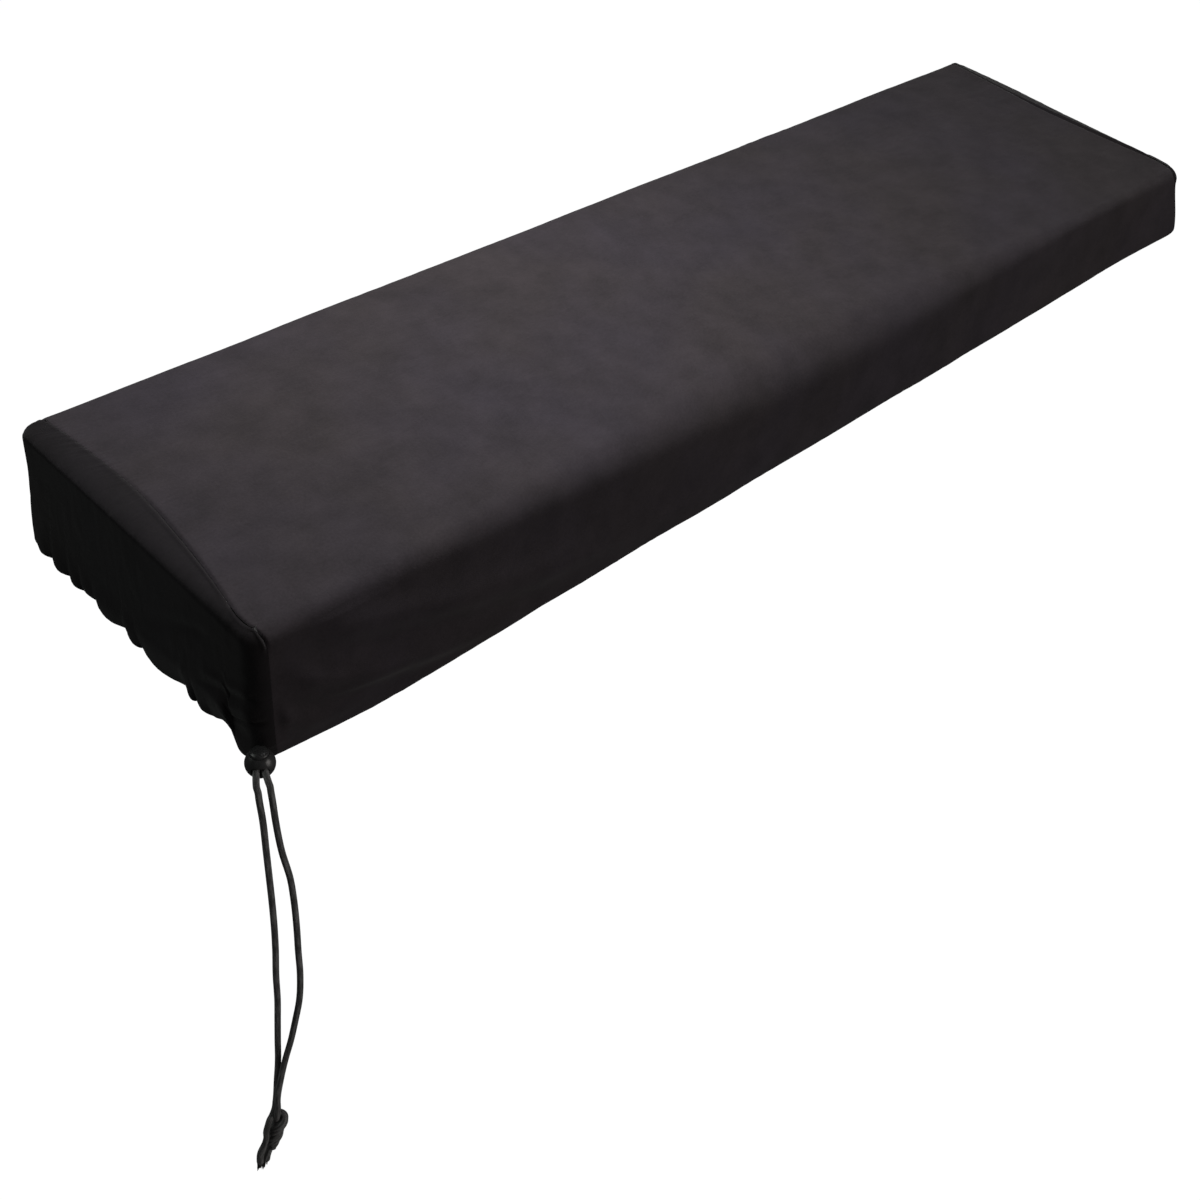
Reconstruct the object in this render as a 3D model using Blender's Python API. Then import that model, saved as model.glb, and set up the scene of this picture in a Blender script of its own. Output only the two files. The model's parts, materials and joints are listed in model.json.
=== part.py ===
"""A fitted cover for an 88-key keyboard, in black stretch cloth, with a drawstring and a cord lock.

The cover is hollow and open below. Lengths are in metres and +Z is up. Inside this file a place is
given as (along, depth, height): along the length from the left end, back from the front, and up from
the underside of the keyboard that the cover fits. The model's origin is under the middle of the top,
on the cloth's inner face, and placed() turns one into the other.
"""

import math

import bmesh
import bpy
import numpy as np
from mathutils import Matrix, Vector

# The keyboard that the cover fits.
LENGTH = 1.326
DEPTH = 0.325
BACK_HEIGHT = 0.1225
FRONT_HEIGHT = 0.087
TOP_CROWN = 0.004
FRONT_CORNER = 0.018
BACK_CORNER = 0.010
EDGE_RADIUS = 0.012

# The cloth.
CLOTH = 0.002
VERTICAL_SEAM = 0.015
CURL_RADIUS = 0.010
CURL_TURN = math.radians(112)
HEM_RETURN = 0.022
HEM_RISE = 0.004
HEM_REACH = CURL_RADIUS + HEM_RETURN
HEM_CORNER = 0.012
SEAM_HALF_GAP = 0.0003
CORNER_SEAM = 0.018
SHARP = math.radians(40)
SKIRT_LEAN = 0.007
SKIRT_LEAN_HEIGHT = 0.040

# The casing of the drawstring puffs out near the corner where the cord leaves it.
BAND_PUFF = 0.0022
BAND_PLACE = 0.005
BAND_HALF = 0.009
BAND_FULL = 0.035
BAND_END = 0.100
GROOVE_PLACE = 0.020
GROOVE_HALF = 0.005
GATHER_HEIGHT = 0.045
GATHER_ROUNDNESS = 0.6
GATHER_SKEW = 1.6
TUCK_SKEW = 2.2

# How far the loose lower walls stand away from the keyboard.
FLARE_HEIGHT = 0.088
FLARE_REACH = 0.120
RIGHT_FLARE = 0.019
RIGHT_SLANT = 0.0125
FRONT_FLARE = 0.006
BACK_FLARE = 0.0105
BACK_LEFT_RISE = 0.0032

# The seam over the top: (back from the front, in from the end).
SEAM_OVER_TOP = (
    (0.000, 0.0150),
    (0.010, 0.0125),
    (0.020, 0.0105),
    (0.031, 0.0104),
    (0.052, 0.0144),
    (0.088, 0.0205),
    (0.128, 0.0255),
    (0.187, 0.0304),
    (0.245, 0.0285),
    (0.302, 0.0236),
    (0.325, 0.0210),
)
# The radius of the front top edge, which is slack in the middle: (along, radius).
FRONT_EDGE = (
    (0.00, 0.012),
    (0.15, 0.014),
    (0.26, 0.020),
    (0.45, 0.028),
    (0.67, 0.040),
    (0.82, 0.032),
    (0.95, 0.022),
    (1.06, 0.013),
    (1.326, 0.012),
)
# The lowest line of the front wall: (along, height).
FRONT_HEM = (
    (0.000, -0.0455),
    (0.040, -0.0484),
    (0.107, -0.0545),
    (0.164, -0.0538),
    (0.254, -0.0505),
    (0.376, -0.0450),
    (0.595, -0.0355),
    (0.882, -0.0210),
    (1.184, -0.0070),
    (1.326, 0.0010),
)
# The lowest line of the back wall: (along, height).
BACK_HEM = ((0.000, -0.008), (0.440, -0.006), (0.880, -0.006), (1.326, -0.006))
# The lowest line of each end wall between its corners: (back from the front, height).
LEFT_HEM = (
    (0.0120, -0.0550),
    (0.0300, -0.0565),
    (0.0450, -0.0530),
    (0.0600, -0.0490),
    (0.0740, -0.0450),
    (0.0956, -0.0385),
    (0.1079, -0.0330),
    (0.1350, -0.0300),
    (0.1727, -0.0265),
    (0.1938, -0.0175),
    (0.2348, -0.0140),
    (0.2660, -0.0060),
    (0.2935, -0.0010),
    (0.3100, -0.0060),
)
RIGHT_HEM = ((0.024, -0.003), (0.160, -0.008), (0.300, -0.008))
# The gathers of each end's hem, from front to back: (where it starts, how far it drops, puffs out).
LEFT_GATHERS = (
    (0.0225, 0.0005, 0.0010),
    (0.0380, -0.0225, 0.0020),
    (0.0740, 0.0040, 0.0030),
    (0.0950, 0.0085, 0.0030),
    (0.1075, 0.0110, 0.0030),
    (0.1725, 0.0100, 0.0030),
    (0.1900, 0.0095, 0.0035),
    (0.2330, 0.0020, 0.0020),
    (0.2500, 0.0085, 0.0030),
    (0.2660, 0.0095, 0.0040),
    (0.2890, 0.0045, 0.0030),
    (0.3110, 0.0000, 0.0000),
)
RIGHT_GATHERS = (
    (0.022, 0.003, 0.0025),
    (0.050, 0.004, 0.0030),
    (0.085, 0.003, 0.0020),
    (0.115, 0.005, 0.0035),
    (0.150, 0.003, 0.0025),
    (0.185, 0.004, 0.0030),
    (0.215, 0.003, 0.0020),
    (0.248, 0.005, 0.0030),
    (0.275, 0.003, 0.0025),
    (0.303, 0.000, 0.0000),
)
# The soft folds of the front wall, which sag from its left corner down to the hem:
# (along and height where it starts, along and height where it ends, push out, half width).
FRONT_FOLDS = (
    (0.030, 0.046, 0.330, -0.032, -0.0035, 0.011),
    (0.040, 0.060, 0.420, -0.006, 0.0035, 0.016),
    (0.022, 0.000, 0.150, -0.028, -0.0030, 0.008),
    (0.030, 0.020, 0.240, -0.030, 0.0025, 0.012),
)
FOLD_SAG = 1.6
FOLD_STARTS = (0.0, 0.2)
FOLD_ENDS = (0.7, 1.05)

# How finely the cloth is divided.
STRIP_ROWS = 5
TOP_ROWS = 6
WALL_ROWS = 6
BACK_WALL_ROWS = 3
BAND_ROWS = (0.021, 0.014, 0.007, 0.0)
CURL_ROWS = 3
CORNER_COLUMNS = 5
GATHER_STEP = 0.008
COLUMN_NEAR = 0.015
COLUMN_FAR = 0.070
FOLDS_THIN_OUT = (0.24, 0.64)
RIGHT_END = (LENGTH - 0.12, LENGTH - 0.03)
SLOPE_STEP = 0.0004

# The cord lock, which hangs at the front left corner with its cord hole level.
LOCK_PLACE = (-0.0005, 0.0008, -0.0341)
LOCK_FACING = math.radians(234)
BALL_RADIUS = 0.0126
BORE_RADIUS = 0.0081
BORE_FLOOR = -0.0088
HOLE_WIDTH = 0.0150
HOLE_HEIGHT = 0.0074
BUTTON_RADIUS = 0.00775
BUTTON_FOOT = -0.0055
BUTTON_SHOULDER = 0.0108
BUTTON_TOP = 0.0135
SLOT_WIDTH = 0.0128
SLOT_BOTTOM = -0.0033
SLOT_TOP = 0.0063
BALL_STEPS = 24
BALL_RINGS = 12
DOME_RINGS = 4
SLOT_SIDE_STEPS = 6
CUTTER_REACH = 0.03

# The drawstring's free strands, seen from the front of the lock: (to the right, out, up) from its
# centre. They leave the hem's corner, run through the lock, bend over its lip and hang to the knot.
CORD_DIAMETER = 0.0058
CORD_SPACING = 0.010
CORD_BEND = 0.027
CORD_ROUTES = {
    "cord_left": (
        (-0.0031, -0.0137, 0.0000),
        (-0.0031, -0.0065, 0.0000),
        (-0.0031, 0.0000, 0.0000),
        (-0.0031, 0.0062, 0.0000),
        (-0.0032, 0.0128, -0.0006),
        (-0.0034, 0.0160, -0.0022),
        (-0.0035, 0.0186, -0.0048),
        (-0.0034, 0.0202, -0.0080),
        (-0.0027, 0.0208, -0.0116),
        (-0.0023, 0.0208, -0.0208),
        (-0.0010, 0.0208, -0.0432),
        (-0.0005, 0.0207, -0.0774),
        (0.0000, 0.0206, -0.1126),
        (0.0003, 0.0206, -0.1367),
        (0.0002, 0.0204, -0.1739),
        (-0.0005, 0.0202, -0.1992),
        (-0.0021, 0.0200, -0.2315),
        (-0.0028, 0.0198, -0.2647),
        (-0.0044, 0.0194, -0.2921),
        (-0.0060, 0.0190, -0.3200),
        (-0.0075, 0.0185, -0.3487),
        (-0.0103, 0.0180, -0.3779),
        (-0.0132, 0.0178, -0.4072),
        (-0.0152, 0.0177, -0.4221),
    ),
    "cord_right": (
        (0.0031, -0.0120, 0.0000),
        (0.0031, -0.0065, 0.0000),
        (0.0031, 0.0000, 0.0000),
        (0.0031, 0.0062, 0.0000),
        (0.0043, 0.0128, -0.0006),
        (0.0052, 0.0160, -0.0022),
        (0.0062, 0.0186, -0.0048),
        (0.0072, 0.0202, -0.0080),
        (0.0074, 0.0208, -0.0116),
        (0.0080, 0.0208, -0.0218),
        (0.0090, 0.0208, -0.0441),
        (0.0117, 0.0209, -0.0785),
        (0.0170, 0.0210, -0.1142),
        (0.0183, 0.0210, -0.1383),
        (0.0188, 0.0212, -0.1752),
        (0.0185, 0.0212, -0.2003),
        (0.0184, 0.0214, -0.2325),
        (0.0159, 0.0215, -0.2651),
        (0.0111, 0.0219, -0.2912),
        (0.0057, 0.0222, -0.3177),
        (-0.0009, 0.0230, -0.3439),
        (-0.0066, 0.0236, -0.3711),
        (-0.0111, 0.0238, -0.3996),
        (-0.0129, 0.0238, -0.4221),
    ),
}
# The knot's core, from the strands' ends to the tails, in the same directions.
KNOT_RADIUS = 0.0058
KNOT_CORE = (
    (-0.0132, 0.0208, -0.4230),
    (-0.0145, 0.0208, -0.4314),
    (-0.0164, 0.0208, -0.4419),
    (-0.0188, 0.0208, -0.4541),
    (-0.0215, 0.0208, -0.4647),
    (-0.0242, 0.0208, -0.4739),
)
# The turns of cord round the core: (to the right, up, reach across, reach out, radius of the turn).
KNOT_TURNS = (
    (-0.0147, -0.4325, 0.0070, 0.0060, 0.0040),
    (-0.0169, -0.4445, 0.0070, 0.0060, 0.0040),
    (-0.0191, -0.4552, 0.0068, 0.0058, 0.0038),
    (-0.0218, -0.4655, 0.0054, 0.0056, 0.0036),
)
KNOT_TILT = math.radians(25)
TURN_STEPS = 14
TURN_SIDES = 8
ROUTE_STEPS = 2000
MERGE = 1e-6
# The cut tails under the knot.
TAILS = {
    "cord_tail_left": (
        (-0.0275, 0.0226, -0.4739),
        (-0.0283, 0.0228, -0.4761),
        (-0.0300, 0.0230, -0.4792),
        (-0.0320, 0.0230, -0.4836),
        (-0.0331, 0.0230, -0.4892),
        (-0.0338, 0.0230, -0.4968),
    ),
    "cord_tail_right": (
        (-0.0221, 0.0190, -0.4756),
        (-0.0245, 0.0190, -0.4820),
        (-0.0260, 0.0190, -0.4880),
        (-0.0280, 0.0190, -0.4964),
    ),
}

CLOTH_BLACK = (0.035, 0.031, 0.034)
PLASTIC_BLACK = (0.012, 0.012, 0.013)
CORD_BLACK = (0.022, 0.021, 0.021)


def eased(table, x):
    """The table's second column at x, on a smooth curve through its rows."""
    xs, ys = (np.array(c, float) for c in zip(*table))
    slopes = np.gradient(ys, xs)
    x = float(np.clip(x, xs[0], xs[-1]))
    i = int(np.clip(np.searchsorted(xs, x) - 1, 0, len(xs) - 2))
    step = xs[i + 1] - xs[i]
    t = (x - xs[i]) / step
    start = (1 + 2 * t) * (1 - t) ** 2 * ys[i] + t * (1 - t) ** 2 * step * slopes[i]
    end = t * t * (3 - 2 * t) * ys[i + 1] - t * t * (1 - t) * step * slopes[i + 1]
    return float(start + end)


def ramp(x, low, high):
    """0 below low, 1 above high, and smooth between, for a number or an array."""
    t = np.clip((x - low) / (high - low), 0.0, 1.0)
    return t * t * (3 - 2 * t)


def top_height(depth):
    """The height of the keyboard's top, which slopes to the front and is a little crowned."""
    t = min(max(depth / DEPTH, 0.0), 1.0)
    return FRONT_HEIGHT + (BACK_HEIGHT - FRONT_HEIGHT) * t + TOP_CROWN * 4 * t * (1 - t)


def placed(along, depth, height):
    """A place on the cover, from the model's origin."""
    return (along - LENGTH / 2, depth - DEPTH / 2, height - top_height(DEPTH / 2) + CLOTH)


def mirror(points):
    """Places in the cover's right half for those in its left half, and the other way round."""
    return points * (-1, 1, 1) + (LENGTH, 0, 0)


def flared(points):
    """Places on the cloth, moved to where the loose lower walls stand away from the keyboard.

    The right end also slants in towards the back, and the top's back edge rises to the left.
    """
    along, depth, height = np.moveaxis(points, -1, 0)
    low = ramp(FLARE_HEIGHT - height, 0.0, FLARE_HEIGHT)
    right = ramp(along, LENGTH - FLARE_REACH, LENGTH)
    front = 1 - ramp(depth, 0.0, FLARE_REACH)
    back = ramp(depth, DEPTH - FLARE_REACH, DEPTH)
    rise = BACK_LEFT_RISE * (1 - along / LENGTH) * depth / DEPTH * ramp(height, 0.0, FRONT_HEIGHT)
    slant = RIGHT_SLANT * np.sqrt(np.clip(depth / DEPTH, 0.0, 1.0))
    along = along + right * (RIGHT_FLARE * low - slant)
    depth = depth + low * (BACK_FLARE * back - FRONT_FLARE * front * right)
    return np.stack((along, depth, height + rise), axis=-1)


def inset(along, depth):
    """How far a place lies inside the plan's outline, whose corners are round."""
    radius = FRONT_CORNER if depth < DEPTH / 2 else BACK_CORNER
    across = abs(along - LENGTH / 2) - LENGTH / 2 + radius
    back = abs(depth - DEPTH / 2) - DEPTH / 2 + radius
    outside = math.hypot(max(across, 0.0), max(back, 0.0))
    return max(radius - outside - min(max(across, back), 0.0), 0.0)


def edge_radius(along, depth):
    return eased(FRONT_EDGE, along) if depth < DEPTH / 2 else EDGE_RADIUS


def surface(along, depth):
    """The height of the cover's outside over a place in plan, with its top edges rounded off."""
    radius = edge_radius(along, depth)
    short = max(radius - inset(along, depth), 0.0)
    return top_height(depth) - radius + math.sqrt(max(radius * radius - short * short, 0.0))


def surface_normal(along, depth):
    """The direction that the cover's outside faces at a place in plan."""
    step = SLOPE_STEP
    slope_x = (surface(along + step, depth) - surface(along - step, depth)) / (2 * step)
    slope_y = (surface(along, depth + step) - surface(along, depth - step)) / (2 * step)
    return np.array(Vector((-slope_x, -slope_y, 1)).normalized())


def outline(around, reach):
    """A point of the plan's outline, or of the hem's inner edge, and the direction that it faces.

    around counts from the front corner's start, round the left end: 0 to 1 is the front corner, 1 to 2
    the straight end, 2 to 3 the back corner. Less than 0 runs along the front, more than 3 the back.
    """
    front, back = (HEM_CORNER, HEM_CORNER) if reach else (FRONT_CORNER, BACK_CORNER)
    near, far = reach + front, DEPTH - reach - back
    if around > 3:
        return np.array((reach + back + around - 3, DEPTH - reach)), np.array((0.0, 1.0))
    if 1 <= around <= 2:
        return np.array((reach, near + (far - near) * (around - 1))), np.array((-1.0, 0.0))
    if around < 1:
        turn = math.pi / 2 * around
        face = np.array((-math.sin(turn), -math.cos(turn)))
        return np.array((near, near)) + front * face, face
    turn = math.pi / 2 * (around - 2)
    face = np.array((-math.cos(turn), math.sin(turn)))
    return np.array((reach + back, far)) + back * face, face


def front_push(along, height):
    """How far the folds push the front wall out at a place."""
    push = 0.0
    for start, start_height, end, end_height, depth, half in FRONT_FOLDS:
        t = (along - start) / (end - start)
        line = start_height + (end_height - start_height) * (1 - (1 - min(max(t, 0.0), 1.0)) ** FOLD_SAG)
        fade = ramp(t, *FOLD_STARTS) * (1 - ramp(t, *FOLD_ENDS))
        push += depth * fade * math.exp(-(((height - line) / half) ** 2))
    return push


def wall(top, bottom, band, rows):
    """The section of a wall and its hem, from the top down: a list of (outward, height)."""
    curl = bottom + CURL_RADIUS
    straight = [top + (curl + BAND_ROWS[0] - top) * i / rows for i in range(rows)]
    points = []
    for height in straight + [curl + above for above in BAND_ROWS]:
        puff = math.exp(-(((height - curl - BAND_PLACE) / BAND_HALF) ** 2))
        groove = math.exp(-(((height - curl - GROOVE_PLACE) / GROOVE_HALF) ** 2))
        lean = SKIRT_LEAN * ramp(-height, 0.0, SKIRT_LEAN_HEIGHT)
        points.append((band * (puff - groove) - lean, height))
    out = points[-1][0]
    for i in range(1, CURL_ROWS + 1):
        turn = CURL_TURN * i / CURL_ROWS
        points.append((out - CURL_RADIUS * (1 - math.cos(turn)), curl - CURL_RADIUS * math.sin(turn)))
    points.append((-HEM_REACH, bottom + HEM_RISE))
    return points


def stand(section, foot, face, inner):
    """A wall's section stood on the plan: outward along face, inward on the way to inner."""
    points = []
    for out, height in section:
        plan = foot + face * out if out > 0 else foot + (inner - foot) * (-out / HEM_REACH)
        points.append((plan[0], plan[1], height))
    return points


def section_normals(section, face):
    """The direction that each point of a wall's section faces."""
    out, height = np.array(section).T
    along, up = np.gradient(out), np.gradient(height)
    size = np.hypot(along, up)
    flat = np.array((face[0], face[1], 0.0))
    return [flat * -up[i] / size[i] + np.array((0, 0, along[i] / size[i])) for i in range(len(out))]


def stations():
    """The main panel's columns, as shares of its length: close together by the folds."""
    places, at = [0.0], 0.0
    while at < LENGTH:
        step = COLUMN_NEAR + (COLUMN_FAR - COLUMN_NEAR) * ramp(at, *FOLDS_THIN_OUT)
        at += step - (step - COLUMN_NEAR) * ramp(at, *RIGHT_END)
        places.append(at)
    return [p / places[-1] for p in places]


SEAM_AROUND = 2 / math.pi * math.asin((FRONT_CORNER - VERTICAL_SEAM) / FRONT_CORNER)
BACK_SEAM = eased(SEAM_OVER_TOP, DEPTH)
BACK_AROUND = 3 + BACK_SEAM - BACK_CORNER


def front_foot(share):
    """Where a column of the front wall stands: its foot, the way it faces, and its hem's inner point."""
    left, face = outline(SEAM_AROUND, 0.0)
    inner = outline(SEAM_AROUND, HEM_REACH)[0]
    along = left[0] + (LENGTH - 2 * left[0]) * share
    if 0 < share < 1:
        left, face = np.array((along, 0.0)), np.array((0.0, -1.0))
    elif share == 1:
        face = face * (-1, 1)
    hem = inner[0] + (LENGTH - 2 * inner[0]) * share
    return np.array((along, left[1])), face, np.array((hem, inner[1] if share in (0, 1) else HEM_REACH))


def back_foot(share):
    inner = outline(BACK_AROUND, HEM_REACH)[0]
    along = BACK_SEAM + (LENGTH - 2 * BACK_SEAM) * share
    hem = inner[0] + (LENGTH - 2 * inner[0]) * share
    return np.array((along, DEPTH)), np.array((0.0, 1.0)), np.array((hem, DEPTH - HEM_REACH))


def band_at(distance):
    """How far the casing puffs out near the cord's corner, distance along either wall from it."""
    return BAND_PUFF * (1 - ramp(distance, BAND_FULL, BAND_END))


def main_column(share):
    """The main panel's points over one column, from the back hem over the top to the front hem."""
    foot, face, inner = back_foot(share)
    top = top_height(DEPTH) - EDGE_RADIUS
    back = wall(top, eased(BACK_HEM, foot[0]), 0.0, BACK_WALL_ROWS)
    points, normals = stand(back, foot, face, inner)[::-1], section_normals(back, face)[::-1]
    front, front_face, front_inner = front_foot(share)
    radius = edge_radius(front[0], 0.0)
    turns = [math.pi / 2 * i / STRIP_ROWS for i in range(1, STRIP_ROWS + 1)]
    depths = [DEPTH - EDGE_RADIUS * (1 - math.cos(t)) for t in turns]
    flat = DEPTH - EDGE_RADIUS - radius - front[1]
    depths += [DEPTH - EDGE_RADIUS - flat * i / TOP_ROWS for i in range(1, TOP_ROWS)]
    depths += [front[1] + radius * (1 - math.cos(t)) for t in turns[::-1]]
    for depth in depths:
        seam = eased(SEAM_OVER_TOP, depth)
        along = seam + (LENGTH - 2 * seam) * share
        points.append((along, depth, surface(along, depth)))
        normals.append(surface_normal(along, depth))
    bottom = eased(FRONT_HEM, front[0])
    band = band_at(front[0])
    section = wall(top_height(front[1]) - radius, bottom, band, WALL_ROWS)
    if 0 < share < 1:
        section = [(out + front_push(front[0], height), height) for out, height in section]
    points += stand(section, front, front_face, front_inner)
    normals += section_normals(section, front_face)
    return points, normals


def grid_normals(points):
    """The direction that each point of a grid faces, from its neighbours."""
    down, across = np.gradient(points, axis=0), np.gradient(points, axis=1)
    normals = np.cross(down, across)
    return normals / np.linalg.norm(normals, axis=2, keepdims=True)


def seam_gap(points, edges):
    """The grid with its sewn edges moved half a gap away from the seam, along the cloth."""
    moved = points.copy()
    for edge, inner in edges:
        step = points[inner] - points[edge]
        size = np.maximum(np.linalg.norm(step, axis=-1, keepdims=True), 1e-9)
        moved[edge] = points[edge] + step / size * SEAM_HALF_GAP
    return moved


def shell(name, outer, normals, flip, material):
    """A closed sheet of cloth: the outer grid, its inner face and the rim between them."""
    rows, columns = outer.shape[:2]
    mesh = bmesh.new()
    front, back = (
        [[mesh.verts.new(placed(*point)) for point in row] for row in grid]
        for grid in (outer, outer - normals * CLOTH)
    )
    quads = []
    for i in range(rows - 1):
        for j in range(columns - 1):
            quads.append((front[i][j], front[i + 1][j], front[i + 1][j + 1], front[i][j + 1]))
            quads.append((back[i][j], back[i][j + 1], back[i + 1][j + 1], back[i + 1][j]))
    rim = [(0, j) for j in range(columns - 1)] + [(i, columns - 1) for i in range(rows - 1)]
    rim += [(rows - 1, j) for j in range(columns - 1, 0, -1)] + [(i, 0) for i in range(rows - 1, 0, -1)]
    for (i, j), (k, m) in zip(rim, rim[1:] + rim[:1]):
        quads.append((front[i][j], front[k][m], back[k][m], back[i][j]))
    for quad in quads:
        mesh.faces.new(quad[::-1] if flip else quad)
    return finish(name, mesh, material)


def finish(name, mesh, material):
    """An object of that name from a bmesh, smooth but for its sharp edges."""
    data = bpy.data.meshes.new(name)
    mesh.to_mesh(data)
    mesh.free()
    thing = bpy.data.objects.new(name, data)
    bpy.context.scene.collection.objects.link(thing)
    if material:
        data.materials.append(material)
    data.shade_smooth()
    data.set_sharp_from_angle(angle=SHARP)
    return thing


def main_panel(material):
    """The top with the back and front walls, and its edge points and directions for the end panels."""
    columns = [main_column(share) for share in stations()]
    plain = np.array([column[0] for column in columns]).transpose(1, 0, 2)
    edge_normals = [np.array(columns[side][1]) for side in (0, -1)]
    points = flared(plain)
    normals = grid_normals(points)
    normals[:, 0], normals[:, -1] = edge_normals
    sewn = ((np.s_[:, 0], np.s_[:, 1]), (np.s_[:, -1], np.s_[:, -2]))
    shell("main_panel", seam_gap(points, sewn), normals, False, material)
    return [(plain[:, side], edge_normals[k]) for k, side in enumerate((0, -1))]


def read_at(values, places):
    """Rows of values at fractional places, straight between neighbours."""
    index = np.arange(len(values))
    return np.array([np.interp(places, index, values[:, k]) for k in range(3)]).T


def end_columns(gathers):
    """Where the end panel's columns stand round the end, as outline() counts."""
    near, far = FRONT_CORNER, DEPTH - BACK_CORNER
    places = [SEAM_AROUND + (1 - SEAM_AROUND) * i / CORNER_COLUMNS for i in range(CORNER_COLUMNS)]
    for (start, _, _), (end, _, _) in zip(gathers[:-1], gathers[1:]):
        count = max(2, round((end - start) / GATHER_STEP))
        for i in range(count):
            depth = start + (end - start) * i / count
            places.append(1 + (depth - near) / (far - near))
    places += [2 + i / CORNER_COLUMNS for i in range(CORNER_COLUMNS)]
    return places + [3.0, BACK_AROUND]


def gather_at(gathers, depth):
    """How far a gather drops the hem, and how far it puffs out, at a place along the end.

    A gather hangs steeply at its back, and a tuck, which drops less than nothing, at its front.
    """
    for (start, drop, puff), (end, _, _) in zip(gathers[:-1], gathers[1:]):
        if start < depth < end:
            share = (depth - start) / (end - start)
            share = share**GATHER_SKEW if drop > 0 else (1 - share) ** TUCK_SKEW
            rounding = math.sin(math.pi * share) ** GATHER_ROUNDNESS
            return drop * rounding, puff * rounding
    return 0.0, 0.0


def seam_depth(place):
    """How far back the seam over the top is where a column from that place round the end meets it."""
    low, high = EDGE_RADIUS + CORNER_SEAM, DEPTH - EDGE_RADIUS - CORNER_SEAM
    if place < 1:
        return EDGE_RADIUS + CORNER_SEAM * (place - SEAM_AROUND) / (1 - SEAM_AROUND)
    if place > 2:
        return high + CORNER_SEAM * (place - 2) / (BACK_AROUND - 2)
    return low + (high - low) * (place - 1)


def strip(foot, start):
    """The shares of the way from a foot to the seam at which an end panel's rows turn over the edge."""
    deep = inset(*start)
    if deep > EDGE_RADIUS:
        turns = [math.pi / 2 * i / (STRIP_ROWS - 1) for i in range(STRIP_ROWS - 1, 0, -1)]
        return [EDGE_RADIUS * (1 - math.cos(turn)) / deep for turn in turns]
    full = math.acos(1 - deep / EDGE_RADIUS)
    turns = [full * i / STRIP_ROWS for i in range(STRIP_ROWS - 1, 0, -1)]
    return [(1 - math.cos(turn)) / (1 - math.cos(full)) for turn in turns]


def with_edges(grid, edge, over_top, down_front, down_back):
    """An end panel's grid with its three sewn edges read from the main panel's edge."""
    grid[0] = read_at(edge, over_top)
    grid[:, 0] = read_at(edge, down_front)
    grid[:, -1] = read_at(edge, down_back)
    return grid


def end_panel(name, sewn_edge, hem, gathers, cord_corner, mirrored, material):
    """An end panel, worked out as a left one, whose seam edges are the main panel's."""
    edge, edge_normals = sewn_edge
    if mirrored:
        edge, edge_normals = mirror(edge), edge_normals * (-1, 1, 1)
    foot_row = BACK_WALL_ROWS + len(BAND_ROWS) + CURL_ROWS
    back_corner = foot_row + STRIP_ROWS
    front_corner = back_corner + TOP_ROWS
    places = end_columns(gathers)
    depths = edge[back_corner : front_corner + 1, 1][::-1]
    rows = np.arange(back_corner, front_corner + 1)[::-1]
    over_top = np.interp([seam_depth(place) for place in places], depths, rows)
    down_front = np.arange(front_corner, len(edge))
    down_back = np.concatenate((
        np.arange(back_corner, foot_row, -1),
        np.linspace(foot_row, foot_row - BACK_WALL_ROWS, WALL_ROWS + 1),
        np.arange(foot_row - BACK_WALL_ROWS - 1, -1, -1),
    ))
    seam = read_at(edge, over_top)
    front_end, back_end = edge[-1][2] - HEM_RISE, edge[0][2] - HEM_RISE
    hem_line = ((0.0, front_end),) + hem + ((DEPTH, back_end),)
    columns = []
    for place, start in zip(places, seam):
        foot, face = outline(place, 0.0)
        inner = outline(place, HEM_REACH)[0]
        column = [tuple(start)]
        for share in strip(foot, start[:2]):
            along, depth = foot + (start[:2] - foot) * share
            column.append((along, depth, surface(along, depth)))
        drop, puff = gather_at(gathers, foot[1])
        band = band_at(foot[1]) if cord_corner else 0.0
        bottom = eased(hem_line, foot[1]) - drop
        section = wall(top_height(foot[1]) - EDGE_RADIUS, bottom, band, WALL_ROWS)
        section = [(out + puff * (1 - ramp(h - bottom, 0.0, GATHER_HEIGHT)), h) for out, h in section]
        columns.append(column + stand(section, foot, face, inner))
    grid, edge = (
        mirror(flared(mirror(points))) if mirrored else flared(points)
        for points in (np.array(columns).transpose(1, 0, 2), edge)
    )
    points = with_edges(grid, edge, over_top, down_front, down_back)
    normals = with_edges(-grid_normals(points), edge_normals, over_top, down_front, down_back)
    sewn = ((np.s_[0, 1:-1], np.s_[1, 1:-1]), (np.s_[:, 0], np.s_[:, 1]), (np.s_[:, -1], np.s_[:, -2]))
    points = seam_gap(points, sewn)
    if mirrored:
        points, normals = mirror(points), normals * (-1, 1, 1)
    shell(name, points, normals, not mirrored, material)


def material_of(name, colour, roughness):
    """A material with one colour and no metal."""
    made = bpy.data.materials.new(name)
    made.use_nodes = True
    shader = made.node_tree.nodes["Principled BSDF"]
    shader.inputs["Base Color"].default_value = (*colour, 1.0)
    shader.inputs["Roughness"].default_value = roughness
    shader.inputs["Metallic"].default_value = 0.0
    return made


def at_lock(right, out, up):
    """A place given from the lock's centre, as the lock faces, from the model's origin."""
    turn = LOCK_FACING
    along = LOCK_PLACE[0] + out * math.cos(turn) - right * math.sin(turn)
    depth = LOCK_PLACE[1] + out * math.sin(turn) + right * math.cos(turn)
    return Vector(placed(along, depth, LOCK_PLACE[2] + up))


def lock_frame():
    """The lock's place and turn, with +X to its right, -Y out of its front and +Z up its bore."""
    return Matrix.Translation(at_lock(0, 0, 0)) @ Matrix.Rotation(LOCK_FACING + math.pi / 2, 4, "Z")


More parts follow.
